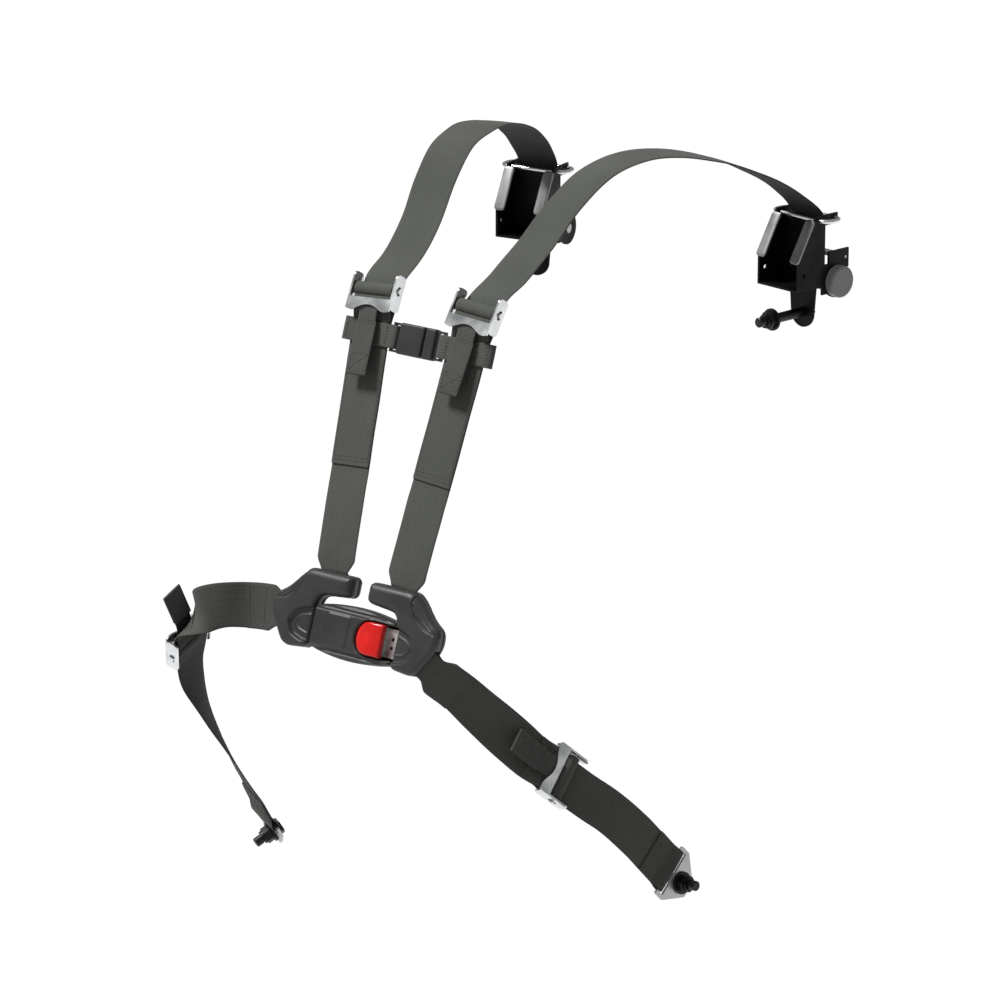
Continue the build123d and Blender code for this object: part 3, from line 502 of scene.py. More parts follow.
class Band:
    """One length of webbing swept along a line of points."""

    def __init__(self, points, across, width=WEB, thick=WEB_T, cup=0.35, ripple=0.5):
        self.p = np.array(points, float)
        _, self.w, self.n = axes(self.p, np.array(across, float))
        self.s = running_length(self.p)
        self.half = np.broadcast_to(np.asarray(width, float) / 2, (len(self.p),)).copy()
        self.thick, self.cup, self.ripple = thick, cup, ripple
        self.length = float(self.s[-1])

    def sample(self, s, rows):
        return np.array([np.interp(s, self.s, rows[:, k]) for k in range(3)])

    def on(self, s, a, b, lift=0.0):
        """A point at length s, share a of the half width and share b of the half thickness."""
        p, w, n = (self.sample(s, rows) for rows in (self.p, self.w, self.n))
        half = np.interp(s, self.s, self.half)
        at = p + w * (a * half)
        wave = self.ripple * noise.noise(Vector(at / 42.0)) if self.ripple else 0.0
        return at + n * (b * self.thick / 2 + lift + wave - self.cup * a * a)

    def make(self, name, body=None, finish=WEBBING, slot="webbing"):
        count = len(SECTION)
        verts, uvs, outer = [], [], []
        for s in self.s:
            half = np.interp(s, self.s, self.half)
            for a, b in SECTION:
                verts.append(self.on(s, a, b))
                uvs.append((s, a * half))
                # outer is 1 on the outer face and 0 on the inner face; the webbing finish paints shade on
                # the inner face from it.
                outer.append(0.5 + b / 2)
        faces = []
        for i in range(len(self.s) - 1):
            for k in range(count):
                j = (k + 1) % count
                faces.append((i * count + k, (i + 1) * count + k, (i + 1) * count + j, i * count + j))
        across = len(FACE) - 1
        edges = (range(across, across + len(EDGE) + 2), [*range(INNER_END, count), 0])
        for start, turn in ((0, 1), ((len(self.s) - 1) * count, -1)):
            for k in range(across):
                quad = (start + k, start + k + 1, start + INNER_END - 1 - k, start + INNER_END - k)
                faces.append(quad[::turn])
            for edge in edges:
                faces.append(tuple(start + k for k in edge)[::turn])
        outer = np.clip(outer, 0, 1)
        return mesh_piece(name, verts, faces, finish, body, uvs, outer, sharp=55)


def tube_faces(first, rings, sides):
    """Quads round a tube of rings, from point number first, and its two end caps."""
    faces = []
    for i in range(rings - 1):
        for k in range(sides):
            a, b = first + i * sides + k, first + i * sides + (k + 1) % sides
            faces.append((a, b, b + sides, a + sides))
    faces.append(tuple(first + k for k in range(sides - 1, -1, -1)))
    faces.append(tuple(first + (rings - 1) * sides + k for k in range(sides)))
    return faces


STITCH_R, STITCH_PITCH, STITCH_LIFT = 0.42, 3.6, 0.12
STITCH_RINGS = [  # along the stitch, share of its radius, rise
    (0, 0.35, -0.5), (0.14, 0.9, -0.1), (0.5, 1.0, 0.12), (0.86, 0.9, -0.1), (1, 0.35, -0.5),
]


class Thread:
    """Stitches, gathered into one piece."""

    def __init__(self):
        self.verts, self.faces = [], []

    def stitch(self, start, end, up):
        along = end - start
        side = unit(np.cross(along, up))
        first = len(self.verts)
        for t, grow, rise in STITCH_RINGS:
            centre = start + along * t + up * rise * STITCH_R
            for k in range(6):
                turn = k * math.pi / 3
                self.verts.append(centre + STITCH_R * grow * (side * math.cos(turn) + up * math.sin(turn)))
        self.faces += tube_faces(first, len(STITCH_RINGS), 6)

    def seam(self, band, path):
        """Stitches along a path of (length, share of the half width) on a band's outer face."""
        for (s0, a0), (s1, a1) in zip(path, path[1:]):
            half = float(np.interp((s0 + s1) / 2, band.s, band.half))
            count = max(1, round(math.hypot(s1 - s0, (a1 - a0) * half) / STITCH_PITCH))
            for i in range(count):
                ends = []
                for t in ((i + 0.08) / count, (i + 0.86) / count):
                    ends.append(band.on(s0 + (s1 - s0) * t, a0 + (a1 - a0) * t, 1, STITCH_LIFT))
                self.stitch(*ends, band.sample((s0 + s1) / 2, band.n))

    def rows(self, band, places, a):
        """Lines of stitches straight across a band."""
        for s in places:
            self.seam(band, [(s, -a), (s, a)])

    def box_x(self, band, s0, s1, a):
        """The crossed box that sews a load-bearing lap."""
        self.seam(band, [(s0, -a), (s1, -a), (s1, a), (s0, a), (s0, -a)])
        self.seam(band, [(s0, -a), (s1, a)])
        self.seam(band, [(s0, a), (s1, -a)])

    def make(self, name, body):
        return mesh_piece(name, self.verts, self.faces, THREAD, body, sharp=80)


# -------- straps with sewn loops
def loop_arc(bar, t, n, towards, sign):
    """Quarter turn of a loop, from the bar's far side nearly to the face given by sign."""
    turn = np.linspace(math.pi, math.pi / 2, 7)[:-1]
    return np.array([bar + BAR_R * (math.cos(a) * t * towards + sign * math.sin(a) * n) for a in turn])


def joined(rows, arc, towards):
    """An arc joined on at the start of some rows, or at their end where towards is -1."""
    return np.vstack([arc, rows] if towards > 0 else [rows, arc[::-1]])


def face_outward(points, across, outward):
    """The across directions, turned round if the strap's face doesn't look outward at its start."""
    _, _, n = axes(points, across)
    return -across if n[0] @ np.asarray(outward, float) < 0 else across


FEATHER = 25  # length over which a strap eases back to its line past a sewn-back end


def layers(points, across, start=None, end=None, converge=20.0):
    """The main layer and the short sewn-back layers of a strap that loops round a bar at an end.

    start and end give the sewn-back layer's length, or None where the strap has no loop."""
    t, w, n = axes(points, across)
    s = running_length(points)
    total = s[-1]
    gap = np.zeros(len(s))
    for reach, here in ((start, s), (end, total - s)):
        if reach is not None:
            at_loop = BAR_R + (LAYER - BAR_R) * ease(here / converge)
            past = LAYER * ease(1 - (here - reach) / FEATHER)
            gap = np.maximum(gap, np.where(here < reach, at_loop, past))
    front = points + n * gap[:, None]
    main, main_w, parts = points - n * gap[:, None], w, {}
    for name, reach, here, i, towards in (("start", start, s, 0, 1), ("end", end, total - s, -1, -1)):
        if reach is not None:
            keep = here <= reach
            outer, inner = (loop_arc(points[i], t[i], n[i], towards, sign) for sign in (1, -1))
            arc_w = np.tile(w[i], (len(outer), 1))
            parts[name] = joined(front[keep], outer, towards), joined(w[keep], arc_w, towards)
            main, main_w = joined(main, inner, towards), joined(main_w, arc_w, towards)
    return (main, main_w), parts


def widths_for(points, origin, reach):
    """Throat width up to the first reach from the origin, full width beyond the second."""
    d = np.linalg.norm(points - origin, axis=1)
    t = np.clip((d - reach[0]) / (reach[1] - reach[0]), 0, 1)
    return THROAT + (WEB - THROAT) * (0.5 * t + 0.5 * ease(t))


def lower_shoulder(hand, side):
    """Doubled strap from the adjuster's bar to the latch plate."""
    place, length = shoulder_place(side)
    body = f"{hand}_half"
    points = np.array([place.at(0, y, 0) for y in np.linspace(0, -length, 118)])
    across = np.tile(-place.x, (len(points), 1))
    (main, main_w), parts = layers(points, across, start=OVERLAY, end=4.0)
    narrow = widths_for(main, points[-1], (4, 19))
    strap = Band(main, main_w, narrow).make(f"{hand}_chest_webbing", body)
    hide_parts(f"{hand}_lower_shoulder_strap")
    top = Band(*parts["start"])
    layer = top.make(f"{hand}_chest_webbing_layer", body)
    turned = Band(*parts["end"], THROAT).make(f"{hand}_chest_webbing_foot", body)
    thread = Thread()
    first, last = 60, top.length - 5
    for a in (-0.9, 0.9):
        thread.seam(top, [(first, a), (last, a)])
    thread.rows(top, (last, last - 4, first + 2), 0.9)
    sewing = thread.make(f"{hand}_chest_webbing_stitching", body)


def upper_shoulder(hand, side):
    """The arch from the adjuster's slide bar over the shoulder into the retractor."""
    place = shoulder_place(side)[0].tilted(-SHOULDER_TILT)
    case = retractor_place(side)
    stations = [((side * p[0], p[1], p[2]), (w[0], side * w[1], w[2])) for p, w in UPPER_STRAP]
    wrap_top = place.at(0, SLIDE_AT[0] + 2.2, SLIDE_AT[1] - 5.6)
    at_roll = SPOOL_AT[0] - 15.0  # just clear of the wound store
    stations = [(wrap_top, place.x)] + stations
    stations += [(case.at(0, at_roll, z), case.x) for z in (40, 16, -8, -33)]
    band = Band(*curve(stations), cup=0.5, ripple=0.9)
    strap = band.make(f"{hand}_shoulder_webbing")
    metres(place.at(0, 24, -3))
    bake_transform(strap)
    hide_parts(f"{hand}_upper_shoulder_strap")


def lap_front(hand, side):
    """The strap from the latch plate to the lap adjuster's fixed bar, sewn back at both ends."""
    body = f"{hand}_half"
    plate, adjuster = plate_place(side), lap_place(side)
    flip = 1 if plate.z @ np.array((0, -1, 0)) > 0 else -1
    stations = [(plate.at(0, 0, 0), plate.x * flip), (plate.at(0, 8, 0), plate.x * flip)]
    stations += LAP_FRONT[side] + [(adjuster.at(0, -11, 0), adjuster.x), (adjuster.at(0, 0, 0), adjuster.x)]
    points, across = curve(stations, first=plate.y, last=adjuster.y)
    across = face_outward(points, across, (0, -1, 0))
    (main, main_w), parts = layers(points, across, start=58.0, end=30.0, converge=16)
    band = Band(main, main_w, widths_for(main, plate.o, (16, 28)))
    strap = band.make(f"{hand}_lap_webbing", body)
    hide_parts(f"{hand}_lap_front_strap")
    front = Band(*parts["start"], widths_for(parts["start"][0], plate.o, (16, 28)))
    near = front.make(f"{hand}_lap_webbing_layer", body)
    back = Band(*parts["end"])
    far = back.make(f"{hand}_lap_webbing_turned", body)
    thread = Thread()
    thread.rows(front, (front.length - 3, front.length - 22), 0.88)
    thread.box_x(back, 4, 20, 0.84)
    sewing = thread.make(f"{hand}_lap_webbing_stitching", body)


def lap_rear(hand, side):
    """The strap from the lap adjuster's slide bar to the anchor plate."""
    body, lock = f"{hand}_half", f"{hand}_lap_adjuster"
    adjuster, anchor = lap_place(side), anchor_place(side)
    stations = [(adjuster.at(0, SLIDE_AT[0] + 3.0, SLIDE_AT[1] - 5.4), adjuster.x)] + LAP_REAR[side][:-1]
    stations += [(anchor.at(0, -11, 0), anchor.x), (anchor.at(0, 0, 0), anchor.x)]
    points, across = curve(stations, last=anchor.y)
    across = face_outward(points, across, adjuster.z)
    (main, main_w), parts = layers(points, across, end=42.0, converge=16)
    band = Band(main, main_w, cup=0.4, ripple=0.8)
    strap = band.make(f"{hand}_anchor_webbing")
    metres(adjuster.at(0, 24, 0))
    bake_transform(strap)
    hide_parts(f"{hand}_lap_rear_strap")
    back = Band(*parts["end"], cup=0.4, ripple=0.8)
    turned = back.make(f"{hand}_anchor_webbing_turned", body)
    thread = Thread()
    thread.box_x(back, 4, 30, 0.86)
    sewing = thread.make(f"{hand}_anchor_webbing_stitching", body)


def spiral(place, centre, turn, first_r, last_r):
    """Points of webbing wound round a bar, at the angles in turn."""
    cy, cz = centre
    radius = np.linspace(first_r, last_r, len(turn))
    return [place.at(0, cy + r * math.cos(a), cz + r * math.sin(a)) for a, r in zip(turn, radius)]


def strap_tail(hand, kind, place, length, lift):
    """The strap's end: wound round the slide bar, then a folded and sewn pull tab."""
    body = f"{hand}_{kind}_adjuster"
    lead = [place.at(0, y, z) for y, z in ((1, 6.1), (3, 6.1), (6, 6.1), (8.6, 6.0))]
    wound = np.array(lead + spiral(place, SLIDE_AT, np.radians(np.linspace(160, -400, 95)), 7.5, 4.4))
    wrap = Band(wound, np.tile(place.x, (len(wound), 1)), cup=0, ripple=0.15)
    outer = wrap.make(f"{hand}_{kind}_wound_webbing", body)
    top = [(5.5, 8.0), (3, 8.3), (-3, 8.4), (-8, 8.3), (-18, 7.6 + lift * 0.2),
           (-(length + 18) / 2, 7.6 + lift * 0.6), (-length, 7.6 + lift)]
    line, line_w = curve([(place.at(0, y, z), -place.x) for y, z in top], step=2.0)
    _, _, n = axes(line, line_w)
    fold_r = 1.0
    under = (line - n * 2 * fold_r)[::-1]
    ahead = unit(line[-1] - line[-2])
    middle = line[-1] - n[-1] * fold_r
    turn = np.radians((30, 60, 90, 120, 150))
    bend = [middle + fold_r * (math.sin(a) * ahead + math.cos(a) * n[-1]) for a in turn]
    path = np.vstack([line, bend, under[:int(len(under) * 0.62)]])
    wide = np.full(len(path), TAB_WEB)
    wide[:13] -= 3.0  # narrower where it passes the frame's lip
    band = Band(path, np.tile(-place.x, (len(path), 1)), wide, 1.5, cup=0.15, ripple=0.3)
    tab = band.make(f"{hand}_{kind}_pull_tab", body, TAB_WEBBING, "webbing_tab")
    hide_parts(f"{hand}_{kind}_strap_tail")
    flat = Band(line, line_w, TAB_WEB, 1.5, cup=0.15, ripple=0.3)
    thread = Thread()
    thread.box_x(flat, flat.length - 22, flat.length - 3, 0.8)
    thread.rows(flat, (24, 27), 0.8)
    sewing = thread.make(f"{hand}_{kind}_pull_tab_stitching", body)


def chest_strap(hand, side):
    """One-inch strap round the chest webbing and the clip's bar."""
    place, _ = shoulder_place(1)
    at = place.at(0, -CHEST_DOWN, 0)
    plane = Place((0, at[1], at[2]), (1, 0, 0), (0, place.y[1], place.y[2]))
    body = f"{hand}_half"
    z = 3.65  # from the middle plane to either face's layer
    near, far = 31.6, 97.6  # the clip's bar, and the chest webbing's outer edge
    path = [(52, -z), (44, -z)]
    path += [(near - z * math.sin(a), -z * math.cos(a)) for a in np.linspace(0, math.pi, 11)]
    path += [(x, z) for x in (42, 50, 58, 66, 74, 82, 90)]
    path += [(far + z * math.sin(a), z * math.cos(a)) for a in np.linspace(0, math.pi, 11)]
    path += [(x, -z) for x in (90, 80, 70, 62, 56)]
    points = np.array([plane.at(side * x, 0, zz) for x, zz in path])
    points, across = curve([(p, plane.y) for p in points], step=1.6, soften=1)
    _, _, n = axes(points, across)
    across = across if n[len(n) // 3] @ plane.z > 0 else -across
    band = Band(points, across, CHEST_WEB, 1.5, cup=0.1, ripple=0.25)
    strap = band.make(f"{hand}_chest_strap_webbing", body)
    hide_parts(f"{hand}_chest_strap")
    thread = Thread()
    for x in (39.5, 95):
        away = np.linalg.norm(band.p - plane.at(side * x, 0, z), axis=1)
        s = band.s[int(np.argmin(away))]
        thread.rows(band, (s, s + 1.8), 0.8)
    sewing = thread.make(f"{hand}_chest_strap_stitching", body)


def webbing_roll(hand, side):
    """The stored webbing, wound on its spool."""
    place, turns = retractor_place(side), 4
    wound = np.array(spiral(place, SPOOL_AT, np.linspace(0, turns * 2 * math.pi, 120), 7.5, 13.4))
    band = Band(wound, np.tile(-place.x, (len(wound), 1)), cup=0, ripple=0)
    roll = band.make(f"{hand}_wound_store", f"{hand}_spool")
    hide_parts(f"{hand}_webbing_roll")


# -------- moulded shells
def rounded(points, radius, steps=5):
    """An outline with its corners eased; radius is one number, or one for each corner."""
    p = np.array(points, float)
    out = []
    for i, here in enumerate(p):
        r = radius[i] if hasattr(radius, "__len__") else radius
        before, after = p[i - 1] - here, p[(i + 1) % len(p)] - here
        a = here + unit(before) * min(r, 0.48 * np.linalg.norm(before))
        b = here + unit(after) * min(r, 0.48 * np.linalg.norm(after))
        for t in np.linspace(0, 1, steps):
            out.append((1 - t) ** 2 * a + 2 * t * (1 - t) * here + t**2 * b)
    return np.array(out)


def distance(x, z, outline):
    """Signed distance to a closed outline, negative inside, and the nearest point on it."""
    best = np.full(x.shape, 1e9)
    near = np.zeros(x.shape + (2,))
    inside = np.zeros(x.shape, bool)
    for a, b in zip(outline, np.roll(outline, -1, axis=0)):
        d = b - a
        if d @ d < 1e-9:
            continue
        t = np.clip(((x - a[0]) * d[0] + (z - a[1]) * d[1]) / (d @ d), 0, 1)
        px, pz = a[0] + t * d[0], a[1] + t * d[1]
        r = np.hypot(x - px, z - pz)
        hit = r < best
        best = np.where(hit, r, best)
        near[hit] = np.stack([px, pz], axis=-1)[hit]
        if a[1] != b[1]:
            inside ^= ((a[1] > z) != (b[1] > z)) & (x < a[0] + (z - a[1]) / d[1] * d[0])
    return np.where(inside, -best, best), near


def ridge(d, at, width):
    """A soft rib where a distance passes a value."""
    return np.exp(-(((d - at) / width) ** 2))


WALL = 1.8  # thickness of the moulded skins


def grid_skin(outline, holes, facing, cell):
    """A grid of quads over an outline, its rim moved out to the outline and to the holes' edges.

    It gives each point's x, z and distance inside, and the faces."""
    low, high = outline.min(axis=0), outline.max(axis=0)
    xs = np.arange(low[0], high[0] + cell, cell)
    zs = np.arange(low[1], high[1] + cell, cell)
    gx, gz = np.meshgrid(xs, zs, indexing="ij")
    d, near = distance(gx, gz, outline)
    for hole in holes:
        dh, nh = distance(gx, gz, hole)
        swap = -dh > d
        d, near = np.where(swap, -dh, d), np.where(swap[..., None], nh, near)
    solid = d < -0.3 * cell
    keep = solid[:-1, :-1] & solid[1:, :-1] & solid[:-1, 1:] & solid[1:, 1:]
    index, faces = {}, []
    for i, j in np.argwhere(keep).tolist():
        corners = ((i, j), (i + 1, j), (i + 1, j + 1), (i, j + 1))
        faces.append([index.setdefault(key, len(index)) for key in corners][::-facing])
    rows, columns = np.array(list(index)).T
    x, z, nearest = gx[rows, columns], gz[rows, columns], near[rows, columns]
    uses = Counter(tuple(sorted(edge)) for face in faces for edge in zip(face, face[1:] + face[:1]))
    rim = sorted({v for edge, count in uses.items() if count == 1 for v in edge})
    x[rim], z[rim] = nearest[rim, 0], nearest[rim, 1]
    inside = -distance(x, z, outline)[0]
    for hole in holes:
        inside = np.minimum(inside, np.abs(distance(x, z, hole)[0]))
    inside[rim] = 0.0
    return x, z, np.maximum(inside, 0), faces


def moulding(name, outline, holes, height, base, facing, body, finish, cell=0.75, sharp=38):
    """A moulded skin: height(x, z, inside) over an outline, with side walls down to base(x, z).

    facing is -1 for a front half, whose height grows to the front, and 1 for a rear half."""
    x, z, inside, faces = grid_skin(outline, holes, facing, cell)
    y = height(x, z, inside)
    mesh = bmesh.new()
    made = [mesh.verts.new(front_point(a, c, facing * b) * MM) for a, b, c in zip(x, y, z)]
    for face in faces:
        mesh.faces.new([made[v] for v in face])
    border = [e for e in mesh.edges if len(e.link_faces) == 1]
    where = {v: (a, c) for v, a, c in zip(made, x, z)}
    top = dict(zip(made, y))
    grown = bmesh.ops.extrude_edge_only(mesh, edges=border)["geom"]
    source = {}
    for v in (g for g in grown if isinstance(g, bmesh.types.BMVert)):
        source[v] = next(e.other_vert(v) for e in v.link_edges if e.other_vert(v) in where)
    for v, old in source.items():
        a, c = where[old]
        v.co = Vector(front_point(a, c, facing * min(base(a, c), top[old] - 0.4)) * MM)
    bmesh.ops.recalc_face_normals(mesh, faces=mesh.faces)
    lift = Vector(front_point(0, 0, facing))
    best = max(mesh.faces, key=lambda face: face.calc_center_median().dot(lift))
    if best.normal.dot(lift) < 0:
        bmesh.ops.reverse_faces(mesh, faces=mesh.faces)
    data = bpy.data.meshes.new(name)
    mesh.to_mesh(data)
    mesh.free()
    data.materials.append(finish)
    data.shade_smooth()
    data.set_sharp_from_angle(angle=math.radians(sharp))
    obj = add_object(name, data)
    skin = obj.modifiers.new("wall", "SOLIDIFY")
    skin.thickness, skin.offset = WALL * MM, -1
    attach(obj, body)
    return obj


def eased_edge(inside, radius):
    """How far a rounded edge has dropped, at a distance inside the outline."""
    t = np.clip(inside / radius, 0, 1)
    return radius * (1 - np.sqrt(np.maximum(0, 1 - (1 - t) ** 2)))


# Outlines of a cover for the half at +X, in the buckle's plane.
COVER = [(11, 60), (70, 60), (78, 55), (98, 34), (112, 26), (114, 6), (90, -29), (60, -26), (57, -19),
         (57, 20), (52, 33), (11, 37)]
COVER_ROUND = [7, 6, 8, 8, 7, 12, 10, 5, 3, 4, 9, 7]
RIB_PANEL = [(75, 66), (72, 46), (80, 33), (95, 22), (120, 17), (120, 44), (90, 66)]
COVER_DIMPLES = [(19, 48), (66, 26), (72, -17)]  # round, in the rear half
TONGUE_PANEL = [(48, 19), (64, 18), (80, 11), (87, -1), (80, -14), (66, -19), (48, -20)]


def cover(hand, side, facing):
    """One half of a cover: the front for a facing of -1, the rear for 1."""
    def on_side(points, radius):
        return rounded([(side * x, z) for x, z in points], radius)

    outline = on_side(COVER, COVER_ROUND)
    panel = on_side(TONGUE_PANEL, 5)
    inner = on_side([(x - 7.0, z * 0.6) for x, z in TONGUE_PANEL], 5)
    ribbed = on_side(RIB_PANEL, 4)
    w, out = slot_directions(side)

    def height(x, z, inside):
        ax = np.abs(x)
        if facing > 0:
            y = 8.5 - eased_edge(inside, 4.0)
            for cx, cz in COVER_DIMPLES:
                y -= 0.8 * ease((3.4 - np.hypot(ax - cx, z - cz)) / 0.8)
            return y - 0.6 * ridge(inside, 6.5, 0.6)
        # A thick rounded rim and arm stand round a sunk panel beside the buckle.
        y = 12.0 - eased_edge(inside, 5.5)
        arm = ease((z - 27) / 9) * ease((92 - ax) / 24)
        y += arm * 2.4 * ease(inside / 9.0)
        d, _ = distance(x, z, panel)
        y -= (4.6 + 1.2 * arm) * ease((2.2 - d) / 4.6)
        d2, _ = distance(x, z, inner)
        y += 1.1 * ridge(d2, 0.0, 0.9) * ease((ax - 57.5) / 2)
        d3, _ = distance(x, z, ribbed)
        y -= 2.0 * ease((0.8 - d3) / 1.6)
        ribs = ease(-d3 / 2) * ease((inside - 2.5) / 2) * ease((56 - z) / 6)
        y += ribs * 1.0 * sum(ridge(inside, at, 0.75) for at in (4.6, 7.8, 11.0))
        return y

    def base(x, z):
        if abs(abs(x) - SHOULDER_FOOT[0]) < THROAT / 2 + 1.6 and z > 56:
            return 4.6
        off = np.subtract((x, z), LAP_SLOT[side])
        if abs(off @ w) < THROAT / 2 + 2.6 and off @ out > 2:
            return 5.4
        if abs(x) < 58.5 and abs(z) < 16:
            return 1.9
        return 0.12

    part = "front" if facing < 0 else "rear"
    obj = moulding(f"{hand}_cover_{part}_moulding", outline, [], height, base, facing,
                   f"{hand}_half", PLASTIC)
    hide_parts(f"{hand}_cover_{part}")


BUCKLE_LEFT, BUCKLE_RIGHT = -54.0, 55.0
BUCKLE_MID_H, BUCKLE_END_H = 29.5, 23.0  # half heights
BUTTON_HALF, BUTTON_CENTRE, BUTTON_RIGHT = 18.0, 26.0, 44.0
BUTTON_CLEAR = 0.45
SCREWS = [(-36, 11), (-36, -11), (3, 12), (3, -12)]


def barrel():
    """The buckle's outline: bulging long sides, straight ends and eased corners."""
    middle, reach = (BUCKLE_LEFT + BUCKLE_RIGHT) / 2, (BUCKLE_RIGHT - BUCKLE_LEFT) / 2
    bulge = BUCKLE_MID_H - BUCKLE_END_H
    radius = (reach**2 + bulge**2) / (2 * bulge)
    xs = np.linspace(BUCKLE_LEFT, BUCKLE_RIGHT, 26)
    top = BUCKLE_MID_H - radius + np.sqrt(radius**2 - (xs - middle) ** 2)
    upper = list(zip(xs, top))
    points = np.array(upper + [(x, -z) for x, z in upper[::-1]])
    corner = np.isin(points[:, 0], (BUCKLE_LEFT, BUCKLE_RIGHT))
    return rounded(points, np.where(corner, 3.0, 1.0), steps=4)


def button_edge(grow, right):
    """The release button's D shape."""
    half, centre = BUTTON_HALF + grow, BUTTON_CENTRE
    turn = np.linspace(math.pi / 2, 3 * math.pi / 2, 26)
    arc = [(centre + half * math.cos(a), half * math.sin(a)) for a in turn]
    return np.array([(right, half)] + arc + [(right, -half)])


def past_end(x, z):
    """Where the tongue and the fixed latch plate pass the buckle's ends."""
    return (x < BUCKLE_LEFT + 1 or x > BUCKLE_RIGHT - 1) and abs(z) < 16


def buckle():
    """The buckle's two shells."""
    outline = barrel()
    hole = button_edge(BUTTON_CLEAR, 60.0)
    badge = rounded([(-33, 17), (-3, 17), (-3, -17), (-33, -17)], 1.6)
    plateau = rounded([(-54, 21.5), (56, 21.5), (56, -21.5), (-54, -21.5)], 3)

    def front_height(x, z, inside):
        y = 9.0 - eased_edge(inside, 4.0)
        d, _ = distance(x, z, plateau)
        y += 4.0 * ease((0.4 - d) / 3.4) * ease(inside / 2.2)
        y -= 0.7 * ridge(d, 1.8, 0.55)
        y += 0.5 * ridge(d, 3.6, 0.6) * (np.abs(x) < 44)
        b, _ = distance(x, z, badge)
        y += 0.7 * ease((0.35 - b) / 0.9) - 0.35 * ridge(b, 1.5, 0.55)
        y -= 0.4 * ridge(np.abs(z), 18.9, 0.4) * (x < 4) * (x > -50)
        # Stepped grips at the left end, and a scoop that leads the thumb to the button.
        for at in (-49.5, -46.5, -43.5):
            y += 0.4 * ridge(x, at, 0.6) * (np.abs(z) < 16)
        y -= 0.8 * ease((3.6 - np.abs(distance(x, z, hole)[0])) / 3.6)
        return y

    def rear_height(x, z, inside):
        y = 10.0 - eased_edge(inside, 4.2)
        for cx, cz in SCREWS:
            y -= 2.0 * ease((3.5 - np.hypot(x - cx, z - cz)) / 0.9)
        for at in (-14.0, -10.5, -7.0):
            y -= 0.5 * ridge(z, at + 10.5, 0.6) * (np.abs(x - 30) < 12)
        y -= 0.5 * ridge(inside, 5.0, 0.55)
        return y

    def front_base(x, z):
        if past_end(x, z):
            return 1.9
        point = np.array([x]), np.array([z])
        from_hole, from_outline = (distance(*point, edge)[0][0] for edge in (hole, outline))
        return 7.6 if from_hole < 0.6 and from_outline < -1.0 else -0.85

    def rear_base(x, z):
        return 1.9 if past_end(x, z) else 1.1

    front = moulding("buckle_front_moulding", outline, [hole], front_height, front_base, -1, "left_half",
                     PLASTIC, cell=0.65)
    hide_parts("buckle_front_shell")
    rear = moulding("buckle_rear_moulding", outline, [], rear_height, rear_base, 1, "left_half",
                    PLASTIC)
    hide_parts("buckle_rear_shell")


def release_button():
    """A crowned button with a shallow thumb dish."""
    def height(x, z, inside):
        y = 16.0 - 52.0 + np.sqrt(52.0**2 - (x - 29.0) ** 2)
        y -= eased_edge(inside, 2.6)
        return y - 0.7 * ease((9 - np.hypot(x - 22, z * 0.7)) / 9)

    button = moulding("button_moulding", button_edge(0.0, BUTTON_RIGHT), [], height, lambda x, z: 8.0, -1,
                      "release_button", RED, cell=0.55, sharp=30)
    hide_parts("release_button")


def button_coils():
    """The two coil springs under the button."""
    coil_r, wire_r, turns = 1.9, 0.35, 5.2
    spring_x, spring_z = 24, 8
    front_y, back_y = -12.2, -4.4
    axis = front_point(0, 0, 1.0)
    corners = np.arange(8) * math.pi / 4
    turn = np.linspace(0, turns * 2 * math.pi, 106)
    depth = np.linspace(front_y, back_y, len(turn))
    verts, faces = [], []
    for z in (spring_z, -spring_z):
        faces += tube_faces(len(verts), len(turn), len(corners))
        line = np.array([front_point(spring_x + coil_r * math.cos(a), z + coil_r * math.sin(a), y)
                         for a, y in zip(turn, depth)])
        t = unit_rows(np.gradient(line, axis=0))
        side = unit_rows(np.cross(t, axis))
        up = np.cross(side, t)
        for c, a, b in zip(line, side, up):
            verts += [c + wire_r * (a * math.cos(k) + b * math.sin(k)) for k in corners]
    coils = mesh_piece("button_coil_springs", verts, faces, SPRING, "left_half", sharp=80)
    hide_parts("button_springs")
    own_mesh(coils)


# -------- retractor details
def slab(name, outline, thick, crown, origin, directions, finish, body):
    """A convex plate with rounded upper edges, its outline in the first two directions."""
    outline = np.array(outline, float)
    ahead = np.roll(outline, -1, axis=0) - np.roll(outline, 1, axis=0)
    normal = np.stack([ahead[:, 1], -ahead[:, 0]], axis=1) / np.linalg.norm(ahead, axis=1)[:, None]
    if (normal * (outline - outline.mean(axis=0))).sum() < 0:
        normal = -normal
    edge = min(0.9, thick * 0.45)
    loops = [(0, 0), (0, thick - edge), (0.3 * edge, thick - 0.3 * edge), (edge, thick),
             (2.6 * edge, thick + crown)]
    across, along, out = directions
    count, verts, faces = len(outline), [], []
    for inset, up in loops:
        verts += [origin + across * x + along * y + out * up for x, y in outline - normal * inset]
    for i in range(len(loops) - 1):
        for k in range(count):
            j = (k + 1) % count
            faces.append((i * count + k, i * count + j, (i + 1) * count + j, (i + 1) * count + k))
    faces.append(tuple(range(count))[::-1])
    faces.append(tuple((len(loops) - 1) * count + k for k in range(count)))
    obj = mesh_piece(name, verts, faces, finish, sharp=35)
    turned = bmesh.new()
    turned.from_mesh(obj.data)
    bmesh.ops.recalc_face_normals(turned, faces=turned.faces)
    turned.to_mesh(obj.data)
    turned.free()
    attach(obj, body)


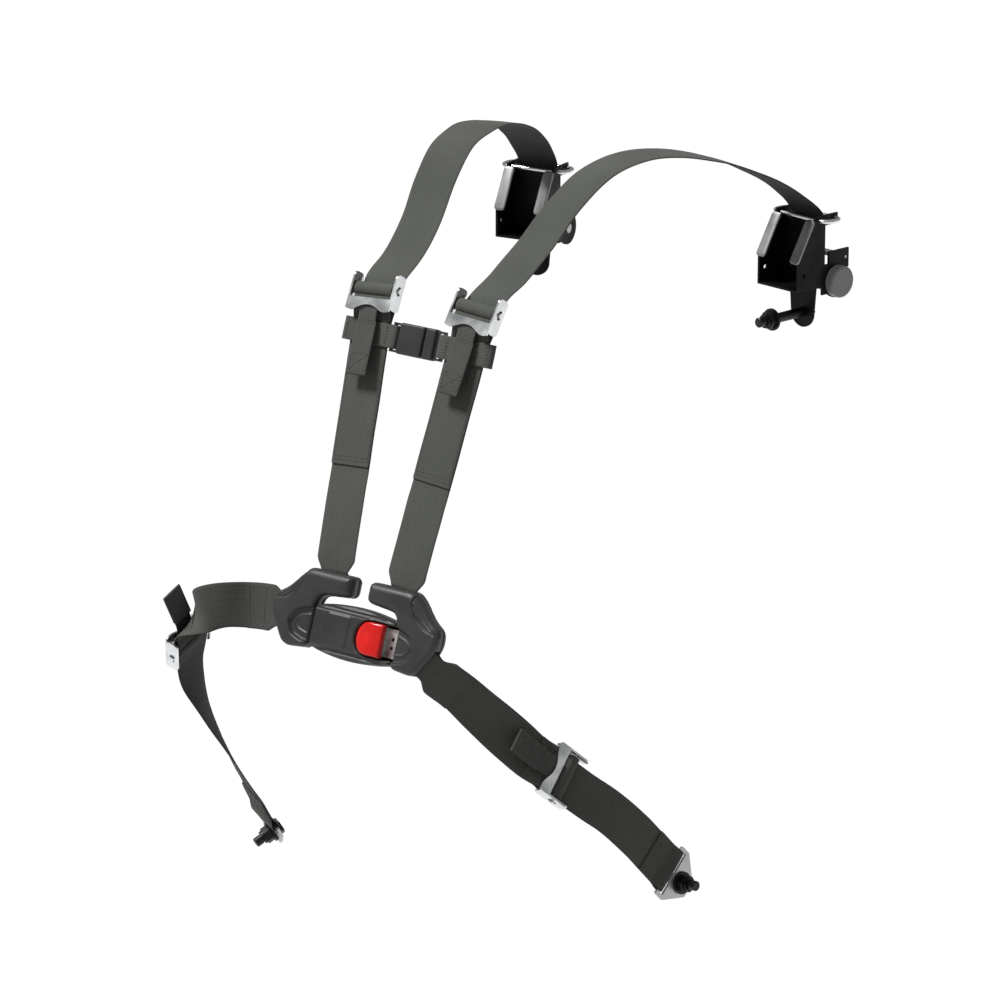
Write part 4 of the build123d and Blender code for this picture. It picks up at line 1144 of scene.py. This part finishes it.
def guards(hand, side):
    """Grey edge guards pressed over the frame's slanted front flanges."""
    place = retractor_place(side)
    lean = math.atan2(-15 - MOUTH_Y, 42.5)
    up = np.array((0, 0, 1.0))
    out = -place.y * math.cos(lean) + up * math.sin(lean)
    along = place.y * math.sin(lean) + up * math.cos(lean)
    outline = rounded([(-6.6, -27), (6.6, -27), (6.6, 26), (-6.6, 26)], 4.5, steps=6)
    for mark, s in (("outer", side), ("inner", -side)):
        middle = place.o + place.x * (s * 25.6) + place.y * (MOUTH_Y + 13.6) + up * 16.6 + out * 1.35
        slab(f"{hand}_{mark}_flange_guard", outline, 2.2, 0.3, middle, (place.x, along, out),
             GUARD, f"{hand}_half")


# -------- make it
finish_nodes()
for hand, side in SIDES.items():
    lower_shoulder(hand, side)
    upper_shoulder(hand, side)
    lap_front(hand, side)
    lap_rear(hand, side)
    strap_tail(hand, "shoulder", shoulder_place(side)[0].tilted(-SHOULDER_TILT), *SHOULDER_TAB)
    strap_tail(hand, "lap", lap_place(side), *LAP_TAB[side])
    chest_strap(hand, side)
    webbing_roll(hand, side)
    cover(hand, side, -1)
    cover(hand, side, 1)
    guards(hand, side)
buckle()
release_button()
button_coils()


# -------- floor, light and camera
def floor():
    """White ground, and walls and a ceiling that only the camera sees. Metres."""
    ground, reach, top = cad_low.z - 0.03, 14, 14
    square = [(-reach, -reach), (reach, -reach), (reach, reach), (-reach, reach)]
    corners = [(x, y, z) for z in (ground, top) for x, y in square]
    white = floor_finish()
    walls = [(0, 1, 5, 4), (1, 2, 6, 5), (2, 3, 7, 6), (3, 0, 4, 7), (4, 5, 6, 7)]
    for name, faces in (("floor", [(0, 1, 2, 3)]), ("backdrop", walls)):
        mesh = bpy.data.meshes.new(name)
        mesh.from_pydata(corners, [], faces)
        mesh.materials.append(white)
        obj = add_object(name, mesh)
        obj.visible_diffuse = False
        obj.visible_shadow = name == "floor"
        obj.visible_glossy = name == "floor"


def sun(name, place, strength, spread):
    """A broad light from the direction of place, spread over some degrees."""
    light = bpy.data.lights.new(name, "SUN")
    light.energy, light.angle = strength, math.radians(spread)
    obj = add_object(name, light)
    obj.rotation_euler = (-Vector(place)).to_track_quat("-Z", "Y").to_euler()


def camera():
    """Level camera, 38 degrees to the wearer's left of the front and 17 degrees up. Metres."""
    round_by, up_by = math.radians(38), math.radians(17)
    aside, rise, away = 0.153, 0.144, 5.28
    right = Vector((math.cos(round_by), math.sin(round_by), 0))
    forward = Vector((-right.y * math.cos(up_by), right.x * math.cos(up_by), -math.sin(up_by)))
    up = right.cross(forward)
    data = bpy.data.cameras.new("camera")
    data.sensor_width, data.lens = 36.0, 178.2
    obj = add_object("camera", data)
    turn = Matrix((right, up, -forward)).transposed().to_4x4()
    obj.matrix_world = Matrix.Translation(aside * right + rise * up - away * forward) @ turn
    bpy.context.scene.camera = obj


def world():
    """Dim white light from all round."""
    sky = bpy.data.worlds.new("studio")
    sky.use_nodes = True
    background = sky.node_tree.nodes["Background"]
    background.inputs["Color"].default_value = (1, 1, 1, 1)
    background.inputs["Strength"].default_value = 0.28
    bpy.context.scene.world = sky


floor()
world()
sun("key", (-0.5, -0.38, 1.0), 3.3, 16)
camera()
bpy.context.scene.view_settings.view_transform = "Standard"
